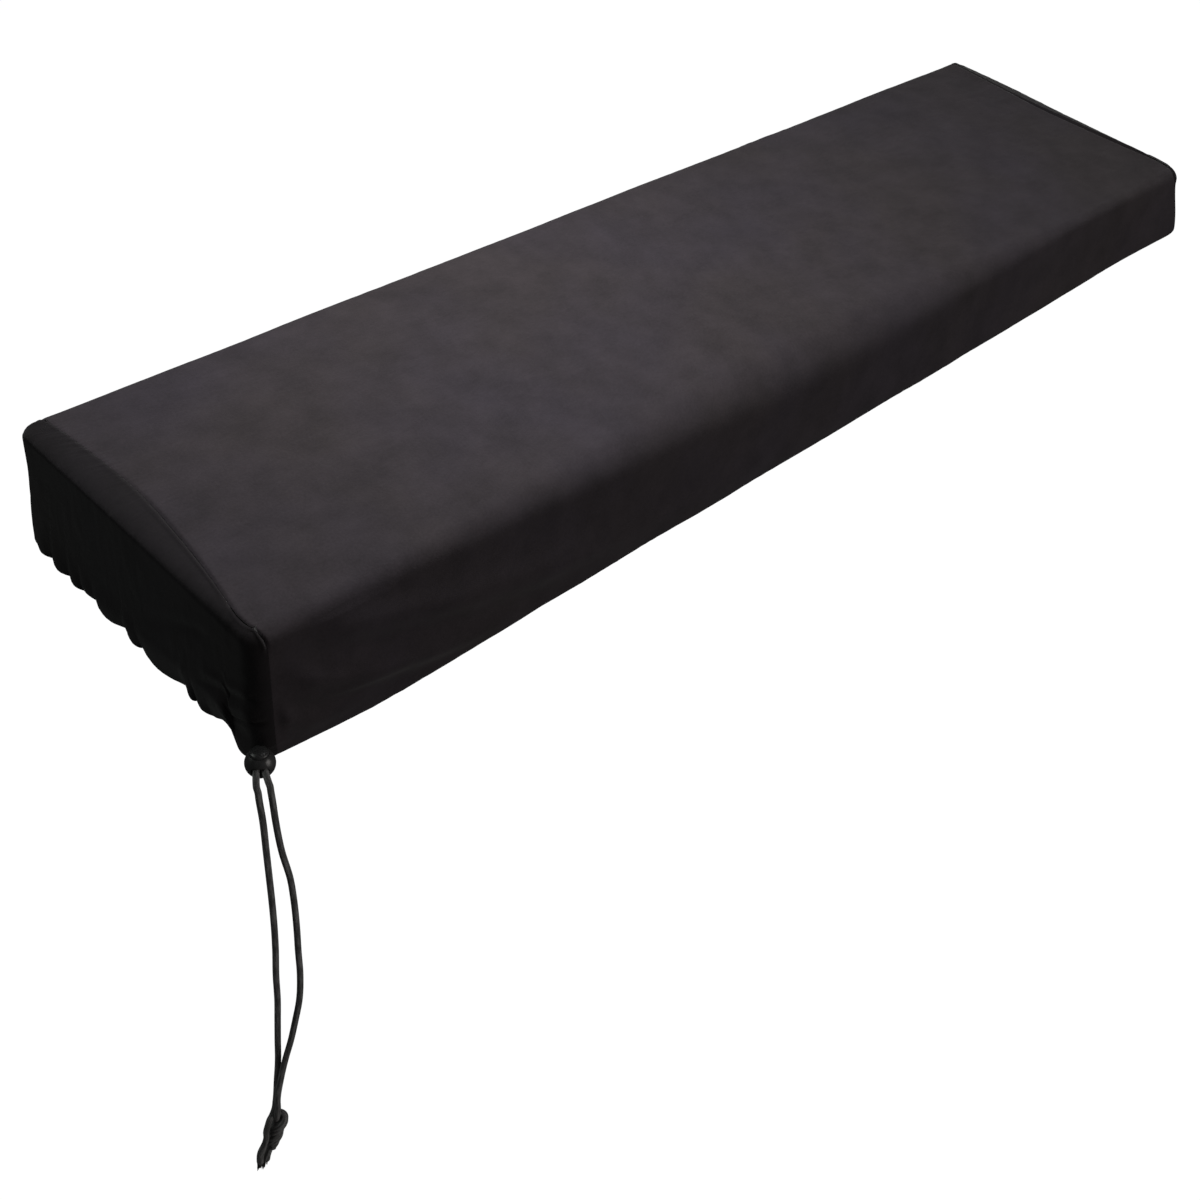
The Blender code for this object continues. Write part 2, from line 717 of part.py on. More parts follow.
def cutter(name, mesh):
    """A hidden shape that a Boolean takes away."""
    thing = finish(name, mesh, None)
    thing.hide_render = True
    thing.display_type = "WIRE"
    return thing


def cut(thing, by):
    modifier = thing.modifiers.new("cut " + by.name, "BOOLEAN")
    modifier.operation = "DIFFERENCE"
    modifier.solver = "EXACT"
    modifier.object = by


def level_slot(name, width, low, high, round_sides):
    """A cutter for a level way through the lock, width across, with round or flat sides."""
    mesh = bmesh.new()
    middle, half = (low + high) / 2, (high - low) / 2
    corners = [(-width / 2, low), (width / 2, low), (width / 2, high), (-width / 2, high)]
    if round_sides:
        corners = []
        for side in (1, -1):
            for i in range(SLOT_SIDE_STEPS + 1):
                turn = math.pi * (i / SLOT_SIDE_STEPS - 0.5)
                right = side * (width / 2 - half + half * math.cos(turn))
                corners.append((right, middle + side * half * math.sin(turn)))
    ends = [[mesh.verts.new((x, y, z)) for x, z in corners] for y in (-CUTTER_REACH, CUTTER_REACH)]
    mesh.faces.new(ends[0])
    mesh.faces.new(ends[1][::-1])
    for i in range(len(corners)):
        j = (i + 1) % len(corners)
        mesh.faces.new((ends[0][j], ends[0][i], ends[1][i], ends[1][j]))
    return cutter(name, mesh)


def turned(profile, steps):
    """A solid turned from a profile of (radius, height) that starts and ends on the axis."""
    mesh = bmesh.new()
    points = [mesh.verts.new((radius, 0, height)) for radius, height in profile]
    edges = [mesh.edges.new(pair) for pair in zip(points[:-1], points[1:])]
    bmesh.ops.spin(mesh, geom=points + edges, cent=(0, 0, 0), axis=(0, 0, 1), angle=math.tau,
                   steps=steps, use_merge=True)
    bmesh.ops.remove_doubles(mesh, verts=mesh.verts, dist=MERGE)
    bmesh.ops.recalc_face_normals(mesh, faces=mesh.faces)
    return mesh


def cord_lock(plastic):
    """The ball with its bore and cord hole, and the button that slides in the bore."""
    rim = math.sqrt(BALL_RADIUS**2 - BORE_RADIUS**2)
    start = math.atan2(rim, BORE_RADIUS)
    profile = [(0.0, BORE_FLOOR), (BORE_RADIUS, BORE_FLOOR)]
    for i in range(BALL_RINGS + 1):
        turn = start - (start + math.pi / 2) * i / BALL_RINGS
        profile.append((BALL_RADIUS * math.cos(turn), BALL_RADIUS * math.sin(turn)))
    ball = finish("lock_body", turned(profile, BALL_STEPS), plastic)
    rise = BUTTON_TOP - BUTTON_SHOULDER
    turns = [math.pi / 2 * i / DOME_RINGS for i in range(DOME_RINGS + 1)]
    dome = [(BUTTON_RADIUS * math.cos(t), BUTTON_SHOULDER + rise * math.sin(t)) for t in turns]
    profile = [(0.0, BUTTON_FOOT), (BUTTON_RADIUS, BUTTON_FOOT)] + dome
    button = finish("lock_button", turned(profile, BALL_STEPS), plastic)
    hole = level_slot("cord hole", HOLE_WIDTH, -HOLE_HEIGHT / 2, HOLE_HEIGHT / 2, True)
    slot = level_slot("button slot", SLOT_WIDTH, SLOT_BOTTOM, SLOT_TOP, False)
    cut(ball, hole)
    cut(button, slot)
    for thing in (ball, button, hole, slot):
        thing.matrix_world = lock_frame()


def smooth_path(points, spacing):
    """Points on a smooth curve through a route's own points: a spacing apart, and closer at the bends."""
    points = np.array(points, float)
    steps = np.r_[0, np.cumsum(np.linalg.norm(np.diff(points, axis=0), axis=1))]
    fine = np.linspace(0, steps[-1], ROUTE_STEPS)
    curve = np.array([[eased(tuple(zip(steps, points[:, k])), s) for s in fine] for k in range(3)]).T
    steps = np.diff(curve, axis=0)
    sizes = np.linalg.norm(steps, axis=1)
    bends = np.linalg.norm(np.diff(steps / sizes[:, None], axis=0), axis=1)
    worth = np.r_[0, np.cumsum(sizes + CORD_BEND * np.r_[0, bends])]
    at = np.linspace(0, worth[-1], max(2, round(worth[-1] / spacing)) + 1)
    return np.array([np.interp(at, worth, curve[:, k]) for k in range(3)]).T


def tube(name, route, diameter, spacing, material):
    """A cord's plain round length, with flat ends."""
    data = bpy.data.curves.new(name, "CURVE")
    data.dimensions = "3D"
    data.bevel_depth = diameter / 2
    data.bevel_resolution = 2
    data.use_fill_caps = True
    path = smooth_path([at_lock(*point) for point in route], spacing)
    spline = data.splines.new("POLY")
    spline.points.add(len(path) - 1)
    for point, place in zip(spline.points, path):
        point.co = (*place, 1.0)
    data.materials.append(material)
    thing = bpy.data.objects.new(name, data)
    bpy.context.scene.collection.objects.link(thing)
    return thing


def knot_turn(right, up, across, out, radius):
    """One closed turn of cord round the knot's core, tilted up to the right."""
    mesh = bmesh.new()
    rings = []
    for i in range(TURN_STEPS):
        turn = math.tau * i / TURN_STEPS
        tangent = Vector((-across * math.sin(turn), out * math.cos(turn), 0)).normalized()
        outward = Vector((tangent.y, -tangent.x, 0))
        centre = Vector((across * math.cos(turn), out * math.sin(turn), 0))
        rings.append([])
        for k in range(TURN_SIDES):
            lean = math.tau * k / TURN_SIDES
            around = outward * math.cos(lean) + Vector((0, 0, 1)) * math.sin(lean)
            rings[-1].append(mesh.verts.new(centre + around * radius))
    for one, other in zip(rings, rings[1:] + rings[:1]):
        for k in range(TURN_SIDES):
            m = (k + 1) % TURN_SIDES
            mesh.faces.new((one[k], other[k], other[m], one[m]))
    bmesh.ops.recalc_face_normals(mesh, faces=mesh.faces)
    mesh.transform(Matrix.Translation((right, -KNOT_CORE[0][1], up)) @ Matrix.Rotation(-KNOT_TILT, 4, "Y"))
    return mesh


def cord_knot(material):
    """The knot: the doubled cord's core with four turns round it, joined into one solid."""
    core = tube("cord_knot", KNOT_CORE, 2 * KNOT_RADIUS, 2 * KNOT_RADIUS, material)
    mesh = bmesh.new()
    mesh.from_mesh(core.to_mesh())
    bpy.data.objects.remove(core)
    bmesh.ops.remove_doubles(mesh, verts=mesh.verts, dist=MERGE)
    knot = finish("cord_knot", mesh, material)
    for i, turn in enumerate(KNOT_TURNS):
        ring = cutter(f"knot turn {i + 1}", knot_turn(*turn))
        ring.matrix_world = lock_frame()
        modifier = knot.modifiers.new("join " + ring.name, "BOOLEAN")
        modifier.operation = "UNION"
        modifier.solver = "EXACT"
        modifier.object = ring


def main():
    for thing in list(bpy.data.objects):
        bpy.data.objects.remove(thing)
    cloth = material_of("stretch cloth", CLOTH_BLACK, 0.85)
    plastic = material_of("black plastic", PLASTIC_BLACK, 0.35)
    braid = material_of("black braid", CORD_BLACK, 0.7)
    left_edge, right_edge = main_panel(cloth)
    end_panel("end_panel_left", left_edge, LEFT_HEM, LEFT_GATHERS, True, False, cloth)
    end_panel("end_panel_right", right_edge, RIGHT_HEM, RIGHT_GATHERS, False, True, cloth)
    cord_lock(plastic)
    for name, route in CORD_ROUTES.items():
        tube(name, route, CORD_DIAMETER, CORD_SPACING, braid)
    cord_knot(braid)
    for name, route in TAILS.items():
        tube(name, route, CORD_DIAMETER, CORD_DIAMETER * 2, braid)


main()
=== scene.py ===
"""A fitted stretch-cloth cover for a full-length keyboard, with its drawstring, cord lock and knot.

Places on the cover are worked out as (along, depth, height): along the length from the left end, back
from the front, and up from the underside of the keyboard that the cover fits. placed() turns them into
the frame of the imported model. Lengths are in metres, but for the tables in millimetres that metres() reads.
"""

import json
import math

import bmesh
import bpy
import numpy as np
from bpy.props import FloatProperty, FloatVectorProperty, PointerProperty
from mathutils import Matrix, Vector, noise
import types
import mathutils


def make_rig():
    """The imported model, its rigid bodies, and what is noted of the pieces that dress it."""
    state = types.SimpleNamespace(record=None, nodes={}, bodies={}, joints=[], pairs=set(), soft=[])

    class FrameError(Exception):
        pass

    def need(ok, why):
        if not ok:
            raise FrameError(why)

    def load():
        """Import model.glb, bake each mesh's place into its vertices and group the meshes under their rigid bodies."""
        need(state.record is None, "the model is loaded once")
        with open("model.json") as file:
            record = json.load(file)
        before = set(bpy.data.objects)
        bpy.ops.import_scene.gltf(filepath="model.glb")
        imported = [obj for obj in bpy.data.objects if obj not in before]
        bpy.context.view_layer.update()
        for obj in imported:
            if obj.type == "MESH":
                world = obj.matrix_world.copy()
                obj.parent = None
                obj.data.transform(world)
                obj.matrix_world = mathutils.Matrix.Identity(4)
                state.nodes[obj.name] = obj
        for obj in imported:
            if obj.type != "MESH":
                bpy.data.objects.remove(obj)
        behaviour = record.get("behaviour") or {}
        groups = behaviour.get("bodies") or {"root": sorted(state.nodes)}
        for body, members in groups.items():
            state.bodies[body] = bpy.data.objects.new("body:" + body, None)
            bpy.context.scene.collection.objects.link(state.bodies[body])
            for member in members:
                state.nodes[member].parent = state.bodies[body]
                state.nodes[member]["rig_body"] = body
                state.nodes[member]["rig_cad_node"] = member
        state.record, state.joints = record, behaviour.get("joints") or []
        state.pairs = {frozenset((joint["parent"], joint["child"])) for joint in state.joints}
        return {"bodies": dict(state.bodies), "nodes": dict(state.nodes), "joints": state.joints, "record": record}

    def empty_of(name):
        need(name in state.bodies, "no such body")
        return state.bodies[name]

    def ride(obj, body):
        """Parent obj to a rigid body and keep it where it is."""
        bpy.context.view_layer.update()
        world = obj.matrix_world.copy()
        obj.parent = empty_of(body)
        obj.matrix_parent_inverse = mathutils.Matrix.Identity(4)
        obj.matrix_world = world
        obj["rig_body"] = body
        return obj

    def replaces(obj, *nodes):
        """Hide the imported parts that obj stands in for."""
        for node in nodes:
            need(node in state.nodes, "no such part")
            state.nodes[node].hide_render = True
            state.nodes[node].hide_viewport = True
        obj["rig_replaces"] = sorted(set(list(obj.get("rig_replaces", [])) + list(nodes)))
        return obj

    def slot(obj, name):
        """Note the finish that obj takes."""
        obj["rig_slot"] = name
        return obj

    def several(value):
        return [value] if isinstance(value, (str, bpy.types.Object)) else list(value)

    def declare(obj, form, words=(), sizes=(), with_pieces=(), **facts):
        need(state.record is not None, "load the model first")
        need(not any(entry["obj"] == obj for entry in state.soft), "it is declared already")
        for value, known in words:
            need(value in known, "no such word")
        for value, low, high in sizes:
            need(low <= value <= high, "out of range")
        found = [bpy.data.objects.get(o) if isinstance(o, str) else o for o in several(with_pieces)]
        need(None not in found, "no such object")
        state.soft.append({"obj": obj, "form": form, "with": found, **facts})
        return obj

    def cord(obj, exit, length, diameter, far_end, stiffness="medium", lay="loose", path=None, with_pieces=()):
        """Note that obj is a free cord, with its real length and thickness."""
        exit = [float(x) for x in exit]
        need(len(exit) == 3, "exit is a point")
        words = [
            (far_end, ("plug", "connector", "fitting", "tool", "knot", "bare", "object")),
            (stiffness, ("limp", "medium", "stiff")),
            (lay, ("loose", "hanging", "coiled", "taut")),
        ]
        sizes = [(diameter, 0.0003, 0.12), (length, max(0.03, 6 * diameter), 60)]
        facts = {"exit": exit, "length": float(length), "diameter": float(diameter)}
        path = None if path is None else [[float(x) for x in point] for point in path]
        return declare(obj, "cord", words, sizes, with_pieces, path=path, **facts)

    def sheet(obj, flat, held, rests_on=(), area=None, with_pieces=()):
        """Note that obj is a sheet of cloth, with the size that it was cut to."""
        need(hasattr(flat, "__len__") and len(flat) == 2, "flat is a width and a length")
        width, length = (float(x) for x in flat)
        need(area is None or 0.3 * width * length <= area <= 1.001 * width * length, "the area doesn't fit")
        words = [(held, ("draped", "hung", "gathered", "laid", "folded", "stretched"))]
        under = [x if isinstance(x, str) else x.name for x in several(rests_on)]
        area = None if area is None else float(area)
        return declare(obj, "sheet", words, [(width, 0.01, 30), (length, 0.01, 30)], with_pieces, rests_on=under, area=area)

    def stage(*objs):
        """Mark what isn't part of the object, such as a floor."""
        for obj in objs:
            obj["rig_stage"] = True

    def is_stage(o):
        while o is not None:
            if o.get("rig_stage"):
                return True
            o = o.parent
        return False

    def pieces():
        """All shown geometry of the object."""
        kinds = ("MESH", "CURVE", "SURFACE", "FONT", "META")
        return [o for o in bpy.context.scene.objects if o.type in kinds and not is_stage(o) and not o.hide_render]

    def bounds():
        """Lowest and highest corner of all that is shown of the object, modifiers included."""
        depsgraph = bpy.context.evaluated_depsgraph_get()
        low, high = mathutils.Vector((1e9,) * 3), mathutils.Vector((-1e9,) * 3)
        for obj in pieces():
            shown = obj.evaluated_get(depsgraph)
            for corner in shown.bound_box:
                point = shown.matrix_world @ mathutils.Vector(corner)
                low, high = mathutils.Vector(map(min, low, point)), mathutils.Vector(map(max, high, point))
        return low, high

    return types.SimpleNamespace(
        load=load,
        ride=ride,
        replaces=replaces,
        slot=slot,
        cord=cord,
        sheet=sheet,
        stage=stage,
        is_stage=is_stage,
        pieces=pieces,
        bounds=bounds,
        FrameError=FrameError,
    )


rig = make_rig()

bl_info = {
    "name": "Keyboard cover",
    "version": (1, 0, 0),
    "blender": (4, 5, 0),
    "location": "View3D > Sidebar > Cover",
    "description": "Builds a fitted stretch-cloth keyboard cover with a drawstring and a cord lock",
    "category": "Object",
}

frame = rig.load()
CAD_BOX = [list(corner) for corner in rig.bounds()]


def metres(table):
    """A table given in millimetres, with its rows, in metres."""
    return tuple(metres(row) for row in table) if isinstance(table, tuple) else table / 1000


# The cover's form, as in the part's own solids: the keyboard's box that it is drawn over and the cloth's
# own turns, the puffed casing by the cord's corner, the gathers of the ends, and how far the loose lower
# walls stand off.
LENGTH = 1.326
DEPTH = 0.325
BACK_HEIGHT = 0.1225
FRONT_HEIGHT = 0.087
TOP_CROWN = 0.004
FRONT_CORNER = 0.018
BACK_CORNER = 0.010
EDGE_RADIUS = 0.012
CLOTH = 0.002
SEAM_IN = 0.015
CURL_RADIUS = 0.010
CURL_TURN = math.radians(112)
HEM_RISE = 0.004
HEM_REACH = 0.032
HEM_CORNER = 0.012
CORNER_SEAM = 0.018
SKIRT_LEAN = 0.007
SKIRT_LEAN_HEIGHT = 0.040
BAND_PUFF = 0.0030
BAND_PLACE = 0.010
BAND_HALF = 0.014
BAND_FULL = 0.035
BAND_END = 0.100
GATHER_HEIGHT = 0.045
GATHER_ROUNDNESS = 0.6
GATHER_SKEW = 1.6
TUCK_SKEW = 2.2
FLARE_HEIGHT = 0.088
FLARE_REACH = 0.120
RIGHT_FLARE = 0.019
RIGHT_SLANT = 0.0125
FRONT_FLARE = 0.006
BACK_FLARE = 0.0105
BACK_LEFT_RISE = 0.0032

# The seam over the top: (back from the front, in from the end).
SEAM_OVER_TOP = metres((
    (0, 15), (10, 12.5), (20, 10.5), (31, 10.4), (52, 14.4), (88, 20.5), (128, 25.5), (187, 30.4),
    (245, 28.5), (302, 23.6), (325, 21),
))
# The radius of the front top edge: (along, radius).
FRONT_EDGE = metres((
    (0, 12), (150, 14), (260, 20), (450, 28), (670, 40), (820, 32), (950, 22), (1060, 13), (1326, 12),
))
# The lowest lines of the walls: (along or back from the front, height).
FRONT_HEM = metres((
    (0, -45.5), (40, -48.4), (107, -54.5), (164, -53.8), (254, -50.5), (376, -45), (595, -35.5), (882, -21),
    (1184, -7), (1326, 1),
))
BACK_HEM = metres(((0, -8), (440, -6), (880, -6), (1326, -6)))
LEFT_HEM = metres((
    (12, -55), (30, -56.5), (45, -53), (60, -49), (74, -45), (95.6, -38.5), (107.9, -33), (135, -30),
    (172.7, -26.5), (193.8, -17.5), (234.8, -14), (266, -6), (293.5, -1), (310, -6),
))
RIGHT_HEM = metres(((24, -3), (160, -8), (300, -8)))
# The gathers of each end's hem, from front to back: (where it starts, how far it drops, puffs out).
LEFT_GATHERS = metres((
    (22.5, 0.5, 1), (38, -22.5, 2), (74, 4, 3), (95, 8.5, 3), (107.5, 11, 3), (172.5, 10, 3),
    (190, 9.5, 3.5), (233, 2, 2), (250, 8.5, 3), (266, 9.5, 4), (289, 4.5, 3), (311, 0, 0),
))
RIGHT_GATHERS = metres((
    (22, 3, 2.5), (50, 4, 3), (85, 3, 2), (115, 5, 3.5), (150, 3, 2.5), (185, 4, 3), (215, 3, 2),
    (248, 5, 3), (275, 3, 2.5), (303, 0, 0),
))
# The soft folds of the front wall: (along and height where it starts, the same where it ends, push out,
# half width).
FRONT_FOLDS = metres((
    (30, 52, 330, -26, -3, 16), (40, 70, 420, 4, 6, 17), (22, 0, 150, -28, -2.4, 12),
    (30, 20, 240, -30, 1.6, 13),
))
# By these shares of its length a fold is full, begins to die away and is gone.
FOLD_ENDS = (0.2, 0.7, 1.05)
FOLD_SAG = 1.6
# Folds and creases of the front wall come to their full depth this far from an end seam.
FOLD_FREE = 0.012
# By these shares of its length a crease is full and begins to die away.
CREASE_ENDS = (0.12, 0.65)
# Creases listed one by one, each a line on a wall: (push out, half width, (along or back, height), ...).
FRONT_CREASES = metres((
    (7.8, 15, (20, 38), (69, 21), (112, 6), (138, -1), (191, -15), (248, -27), (320, -37)),
    (5.8, 14, (10, 6), (26, -2), (42, -11), (59, -18), (90, -24), (150, -32)),
    (1.4, 10, (165, 33), (219, 17), (307, 0), (375, -4)),
    (1, 5, (20, 24), (60, 4), (110, -8), (160, -16)),
    (-0.8, 6, (300, 18), (420, 0), (560, -10)),
    (-1.4, 2, (0, 2), (11, -3.5), (21, -6.5), (36, -10)),
))
LEFT_CREASES = metres((
    (1.6, 4.5, (4, 34), (26, 27), (45, 22), (83, 12)),
    (-1.4, 4, (3, 24), (30, 15), (60, 6), (90, -4)),
    (1.2, 4.5, (3, 13), (18, 8), (44, 0), (72, -8)),
    (-1.2, 6, (60, 60), (110, 40), (160, 10)),
    (-1.4, 2, (0, 3), (4, 1), (25, -8), (52, -18)),
))
RIGHT_CREASES = metres(((-1.4, 5, (4, 30), (40, 24), (90, 10)),))

# The drawstring's strands, seen from the front of the lock: (to the right, out, up) from its centre.
# Each runs from the casing through the lock and the knot to its cut end.
LOCK_PLACE = (-0.0005, 0.0008, -0.0341)
LOCK_FACING = math.radians(234)
CORD_RADIUS = 0.0029
STRANDS = {
    "cord_left": metres((
        (-3.1, -13.7, 0), (-3.1, -6.5, 0), (-3.1, 0, 0), (-3.1, 6.2, 0), (-3.2, 12.8, -0.6),
        (-3.4, 16, -2.2), (-3.5, 18.6, -4.8), (-3.4, 20.2, -8), (-2.7, 20.8, -11.6), (-2.3, 20.8, -20.8),
        (-1, 20.8, -43.2), (-0.5, 20.7, -77.4), (0, 20.6, -112.6), (0.3, 20.6, -136.7), (0.2, 20.4, -173.9),
        (-0.5, 20.2, -199.2), (-2.1, 20, -231.5), (-2.8, 19.8, -264.7), (-4.4, 19.4, -292.1),
        (-6, 19, -320), (-7.5, 18.5, -348.7), (-10.3, 18, -377.9), (-13.2, 17.8, -407.2),
        (-15.6, 18, -421.6), (-17.9, 20.5, -426.3), (-20.2, 24, -427.8), (-22.1, 26.5, -432.4),
        (-23.9, 27.2, -439.6), (-24.5, 26.2, -450.8), (-26.7, 24.5, -462.1), (-29.1, 23.2, -471.4),
        (-31.6, 23, -479.1), (-32.5, 23, -486), (-32.8, 23, -491.5),
    )),
    "cord_right": metres((
        (3.1, -12, 0), (3.1, -6.5, 0), (3.1, 0, 0), (3.1, 6.2, 0), (4.3, 12.8, -0.6), (5.2, 16, -2.2),
        (6.2, 18.6, -4.8), (7.2, 20.2, -8), (7.4, 20.8, -11.6), (8, 20.8, -21.8), (9, 20.8, -44.1),
        (11.7, 20.9, -78.5), (17, 21, -114.2), (18.3, 21, -138.3), (18.8, 21.2, -175.2),
        (18.5, 21.2, -200.3), (18.4, 21.4, -232.5), (15.9, 21.5, -265.1), (11.1, 21.9, -291.2),
        (5.7, 22.2, -317.7), (-0.9, 23, -343.9), (-6.6, 23.6, -371.1), (-11.1, 23.8, -399.6),
        (-11.7, 23.2, -413.7), (-13.3, 21.5, -426.3), (-15.7, 20, -443.2), (-18.5, 19.5, -458.8),
        (-21.3, 19.3, -470.3), (-24, 19, -479.7), (-26.2, 19, -488), (-27.1, 19, -493.4),
    )),
}
CORD_SIDES = 16
CORD_STEP = 0.0013
FINE_STEPS = 20
BRAID_LEAN = math.radians(45)
SHARP = math.radians(35)
LOCK_STEPS = 72
WAY_STEPS = 8
# The wraps of the knot, from its top to its bottom: (to the right, up, reach across, reach out).
KNOT_AXIS = metres((
    (-11.8, -431, 5.6, 4), (-12.6, -437, 7, 5), (-15.2, -445, 5, 5), (-16.6, -454, 5, 5),
    (-19, -462.5, 4, 4.2), (-20.2, -468, 2.6, 3.4), (-20.6, -471, 0.6, 1),
))
KNOT_MIDDLE = 0.0200
KNOT_TILT = math.radians(24)
KNOT_TURNS = 2.5
KNOT_START = -0.30
KNOT_STEPS = 24
WRAPS_APART = 0.0066
WRAP_RADIUS = 0.0036
# Both tails are cut on one slant: a place on it for each, and the way that it faces.
CUTS = {"cord_left": metres((-33.8, 23, -500.4)), "cord_right": metres((-29.2, 19, -502))}
CUT_FACING = (0.876, 0.0, -0.482)
TAIL_FLARE = 1.2
TAIL_REACH = 0.032
# How a cut end frays: how many threads, how unevenly long, how far they spread and how thick they are.
FRAYS = 80
FRAY_LENGTHS = (0.75, 1.15)
FRAY_SPREAD = 0.25
FRAY_RADIUS = 0.0006
FRAY_DEPTH = 0.0020
FRAY_CROWDING = 0.85
FRAY_STEPS = 6
FRAY_SIDES = 6
FRAY_SEED = 5
# How far from its cut a tail is wholly pale, and how far it isn't at all.
CUT_REACH = (0.0036, 0.012)
STRAND_LENGTHS = {"cord_left": 0.545, "cord_right": 0.540}

# The ball of the cord lock, its bore and its button, up from the ball's middle.
BALL_RADIUS = 0.0126
BORE_RADIUS = 0.0081
BORE_FLOOR = -0.0088
HOLE_WIDTH = 0.0150
HOLE_HEIGHT = 0.0074
BUTTON_RADIUS = 0.00775
BUTTON_FOOT = -0.0055
BUTTON_SHOULDER = 0.0108
BUTTON_TOP = 0.0135
SLOT_WIDTH = 0.0128
SLOT_BOTTOM = -0.0033
SLOT_TOP = 0.0063
SLOT_ROUNDING = 0.0010
BALL_EDGE = 0.0005
BUTTON_EDGE = 0.0003
EDGE_SEGMENTS = 3
BALL_STEPS = 36
DOME_STEPS = 12

# Slack swells of the cloth (size, seed, depth), and its thin wrinkles (turn, size, seed, depth), which
# lie in patches (size, seed) and are fainter between them.
SWELL = (0.085, 3.1, 0.0007)
WRINKLES = ((0.5, (0.060, 0.014, 0.030), 7.7, 0.00030), (-0.9, (0.050, 0.012, 0.030), 19.3, -0.00030))
WRINKLE_SHARPNESS = 4
PATCHES = (0.16, 31.0)
PATCH_RANGE = (-0.1, 0.5)
FAINT = 0.35
# How near a seam the cloth is pulled smooth.
SMOOTH_BY_SEAM = 0.02
# How strong the puckers across the end seams are: (along the seam from the front hem, strength).
PUCKERS = (
    (0.00, 0.6), (0.03, 0.8), (0.05, 0.3), (0.17, 0.2), (0.19, 0.25), (0.27, 0.12), (0.37, 0.4),
    (0.43, 0.65), (0.47, 0.5), (0.52, 0.3), (0.62, 0.3),
)
PUCKER_REACH = 0.012
# The seam: the cloth dips into it, and its allowance lies under the end panel as a ridge. Both fade to
# the back of the top, and go down the front corner.
SEAM_DIP = 0.0020
SEAM_DIP_HALF = 0.0017
RIDGE = 0.0014
RIDGE_PLACE = 0.0028
RIDGE_HALF = 0.0014
SEAM_FADE = 0.75
SEAM_BACK = (0.14, 0.24)
SEAM_DOWN = (0.005, 0.020)
# The panels laid flat, as cut.
MAIN_CUT = (1.29, 0.65)
END_CUT = (0.36, 0.19)

# How finely the cloth is divided.
EDGE_ROWS = 8
TOP_ROWS = 76
WALL_ROWS = 52
BACK_WALL_ROWS = 14
CURL_ROWS = 8
RETURN_ROWS = 3
COLUMN_STEP = 0.0055
SEAM_STEPS = metres((0.7, 0.7, 0.8, 0.9, 1.1, 1.4, 1.8, 2.3, 2.9, 3.6))
SEAM_CROWDING = 1.6
STRIP_ROWS = 8
STRIP_ROUNDING = (0.010, 0.022)
CORNER_COLUMNS = 16
GATHER_COLUMNS = 9
BACK_COLUMNS = 6
TOUCHING = 1e-6

# The cloth's colour: its shares in the nap's hollows and crowns, and by channel in its warmer patches.
NAP_SHARES = (0.74, 1.28)
WARM_SHARES = (1.03, 1.02, 0.90)
# Thin creases that lie over the cloth: (turn, stretch, how close together, how deep).
CREASE_NOISES = (
    (0.55, (1.0, 2.6, 1.0), 13.0, 0.00028),
    (-0.90, (1.0, 3.0, 1.0), 17.0, 0.00022),
    (1.75, (1.0, 2.2, 1.0), 9.0, 0.00030),
)
# The braid's colour: its shares between the threads' crowns, as painted shade, and on them, as a painted highlight,
# and the pale thread where it is cut.
BRAID_PAINTED_SHADE_AND_HIGHLIGHT = (0.50, 3.6)
CUT_COLOUR = (0.060, 0.058, 0.045, 1.0)

# The stage: the floor, and each lamp's (name, place, size, power, colour).
FLOOR_HALF = 12.0
FLOOR_HEIGHT = -0.72
FLOOR_COLOUR = (0.10, 0.10, 0.10, 1.0)
WHITE = (1.0, 1.0, 1.0, 1.0)
LIGHTS = (
    ("overhead", (-0.22, 0.10, 0.85), (0.5, 0.4), 8.7, (1.0, 1.0, 1.0)),
    ("front fill", (0.9, -2.6, 0.6), (1.5, 1.5), 22.0, (1.0, 0.96, 0.92)),
    ("left fill", (-1.5, 0.9, 1.2), (0.8, 0.8), 4.4, (0.92, 1.0, 0.94)),
)
# The camera's place by the cover, and which ways its right, its top and its back point.
CAMERA_PLACE = (-0.58343, -0.91069, 0.96978)
CAMERA_RIGHT = (0.71274, -0.69986, 0.04679)
CAMERA_UP = (0.40553, 0.46559, 0.78662)
CAMERA_BACK = (-0.57231, -0.54168, 0.61566)


def eased(table, x):
    """The table's second column at x, on a smooth curve through its rows."""
    xs, ys = np.array(table, float).T
    slopes = np.gradient(ys, xs)
    x = np.clip(np.asarray(x, float), xs[0], xs[-1])
    i = np.clip(np.searchsorted(xs, x) - 1, 0, len(xs) - 2)
    step = xs[i + 1] - xs[i]
    t = (x - xs[i]) / step
    start = (1 + 2 * t) * (1 - t) ** 2 * ys[i] + t * (1 - t) ** 2 * step * slopes[i]
    return start + t * t * (3 - 2 * t) * ys[i + 1] - t * t * (1 - t) * step * slopes[i + 1]


def ramp(x, low, high):
    """0 below low, 1 above high, and smooth between."""
    t = np.clip((np.asarray(x, float) - low) / (high - low), 0.0, 1.0)
    return t * t * (3 - 2 * t)


def hump(x, middle, half):
    """1 at the middle, falling away to nothing about two halves off."""
    return np.exp(-(((x - middle) / half) ** 2))


def top_height(depth):
    """The top's height at a depth: it slopes up to the back, with a slight crown."""
    t = np.clip(np.asarray(depth, float) / DEPTH, 0.0, 1.0)
    return FRONT_HEIGHT + (BACK_HEIGHT - FRONT_HEIGHT) * t + TOP_CROWN * 4 * t * (1 - t)


def placed(points):
    """Places on the cover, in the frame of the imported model."""
    return np.asarray(points, float) - (LENGTH / 2, DEPTH / 2, top_height(DEPTH / 2) - CLOTH)


def mirror(points):
    """Places in the cover's right half for those in its left half, and the other way round."""
    return points * (-1, 1, 1) + (LENGTH, 0, 0)


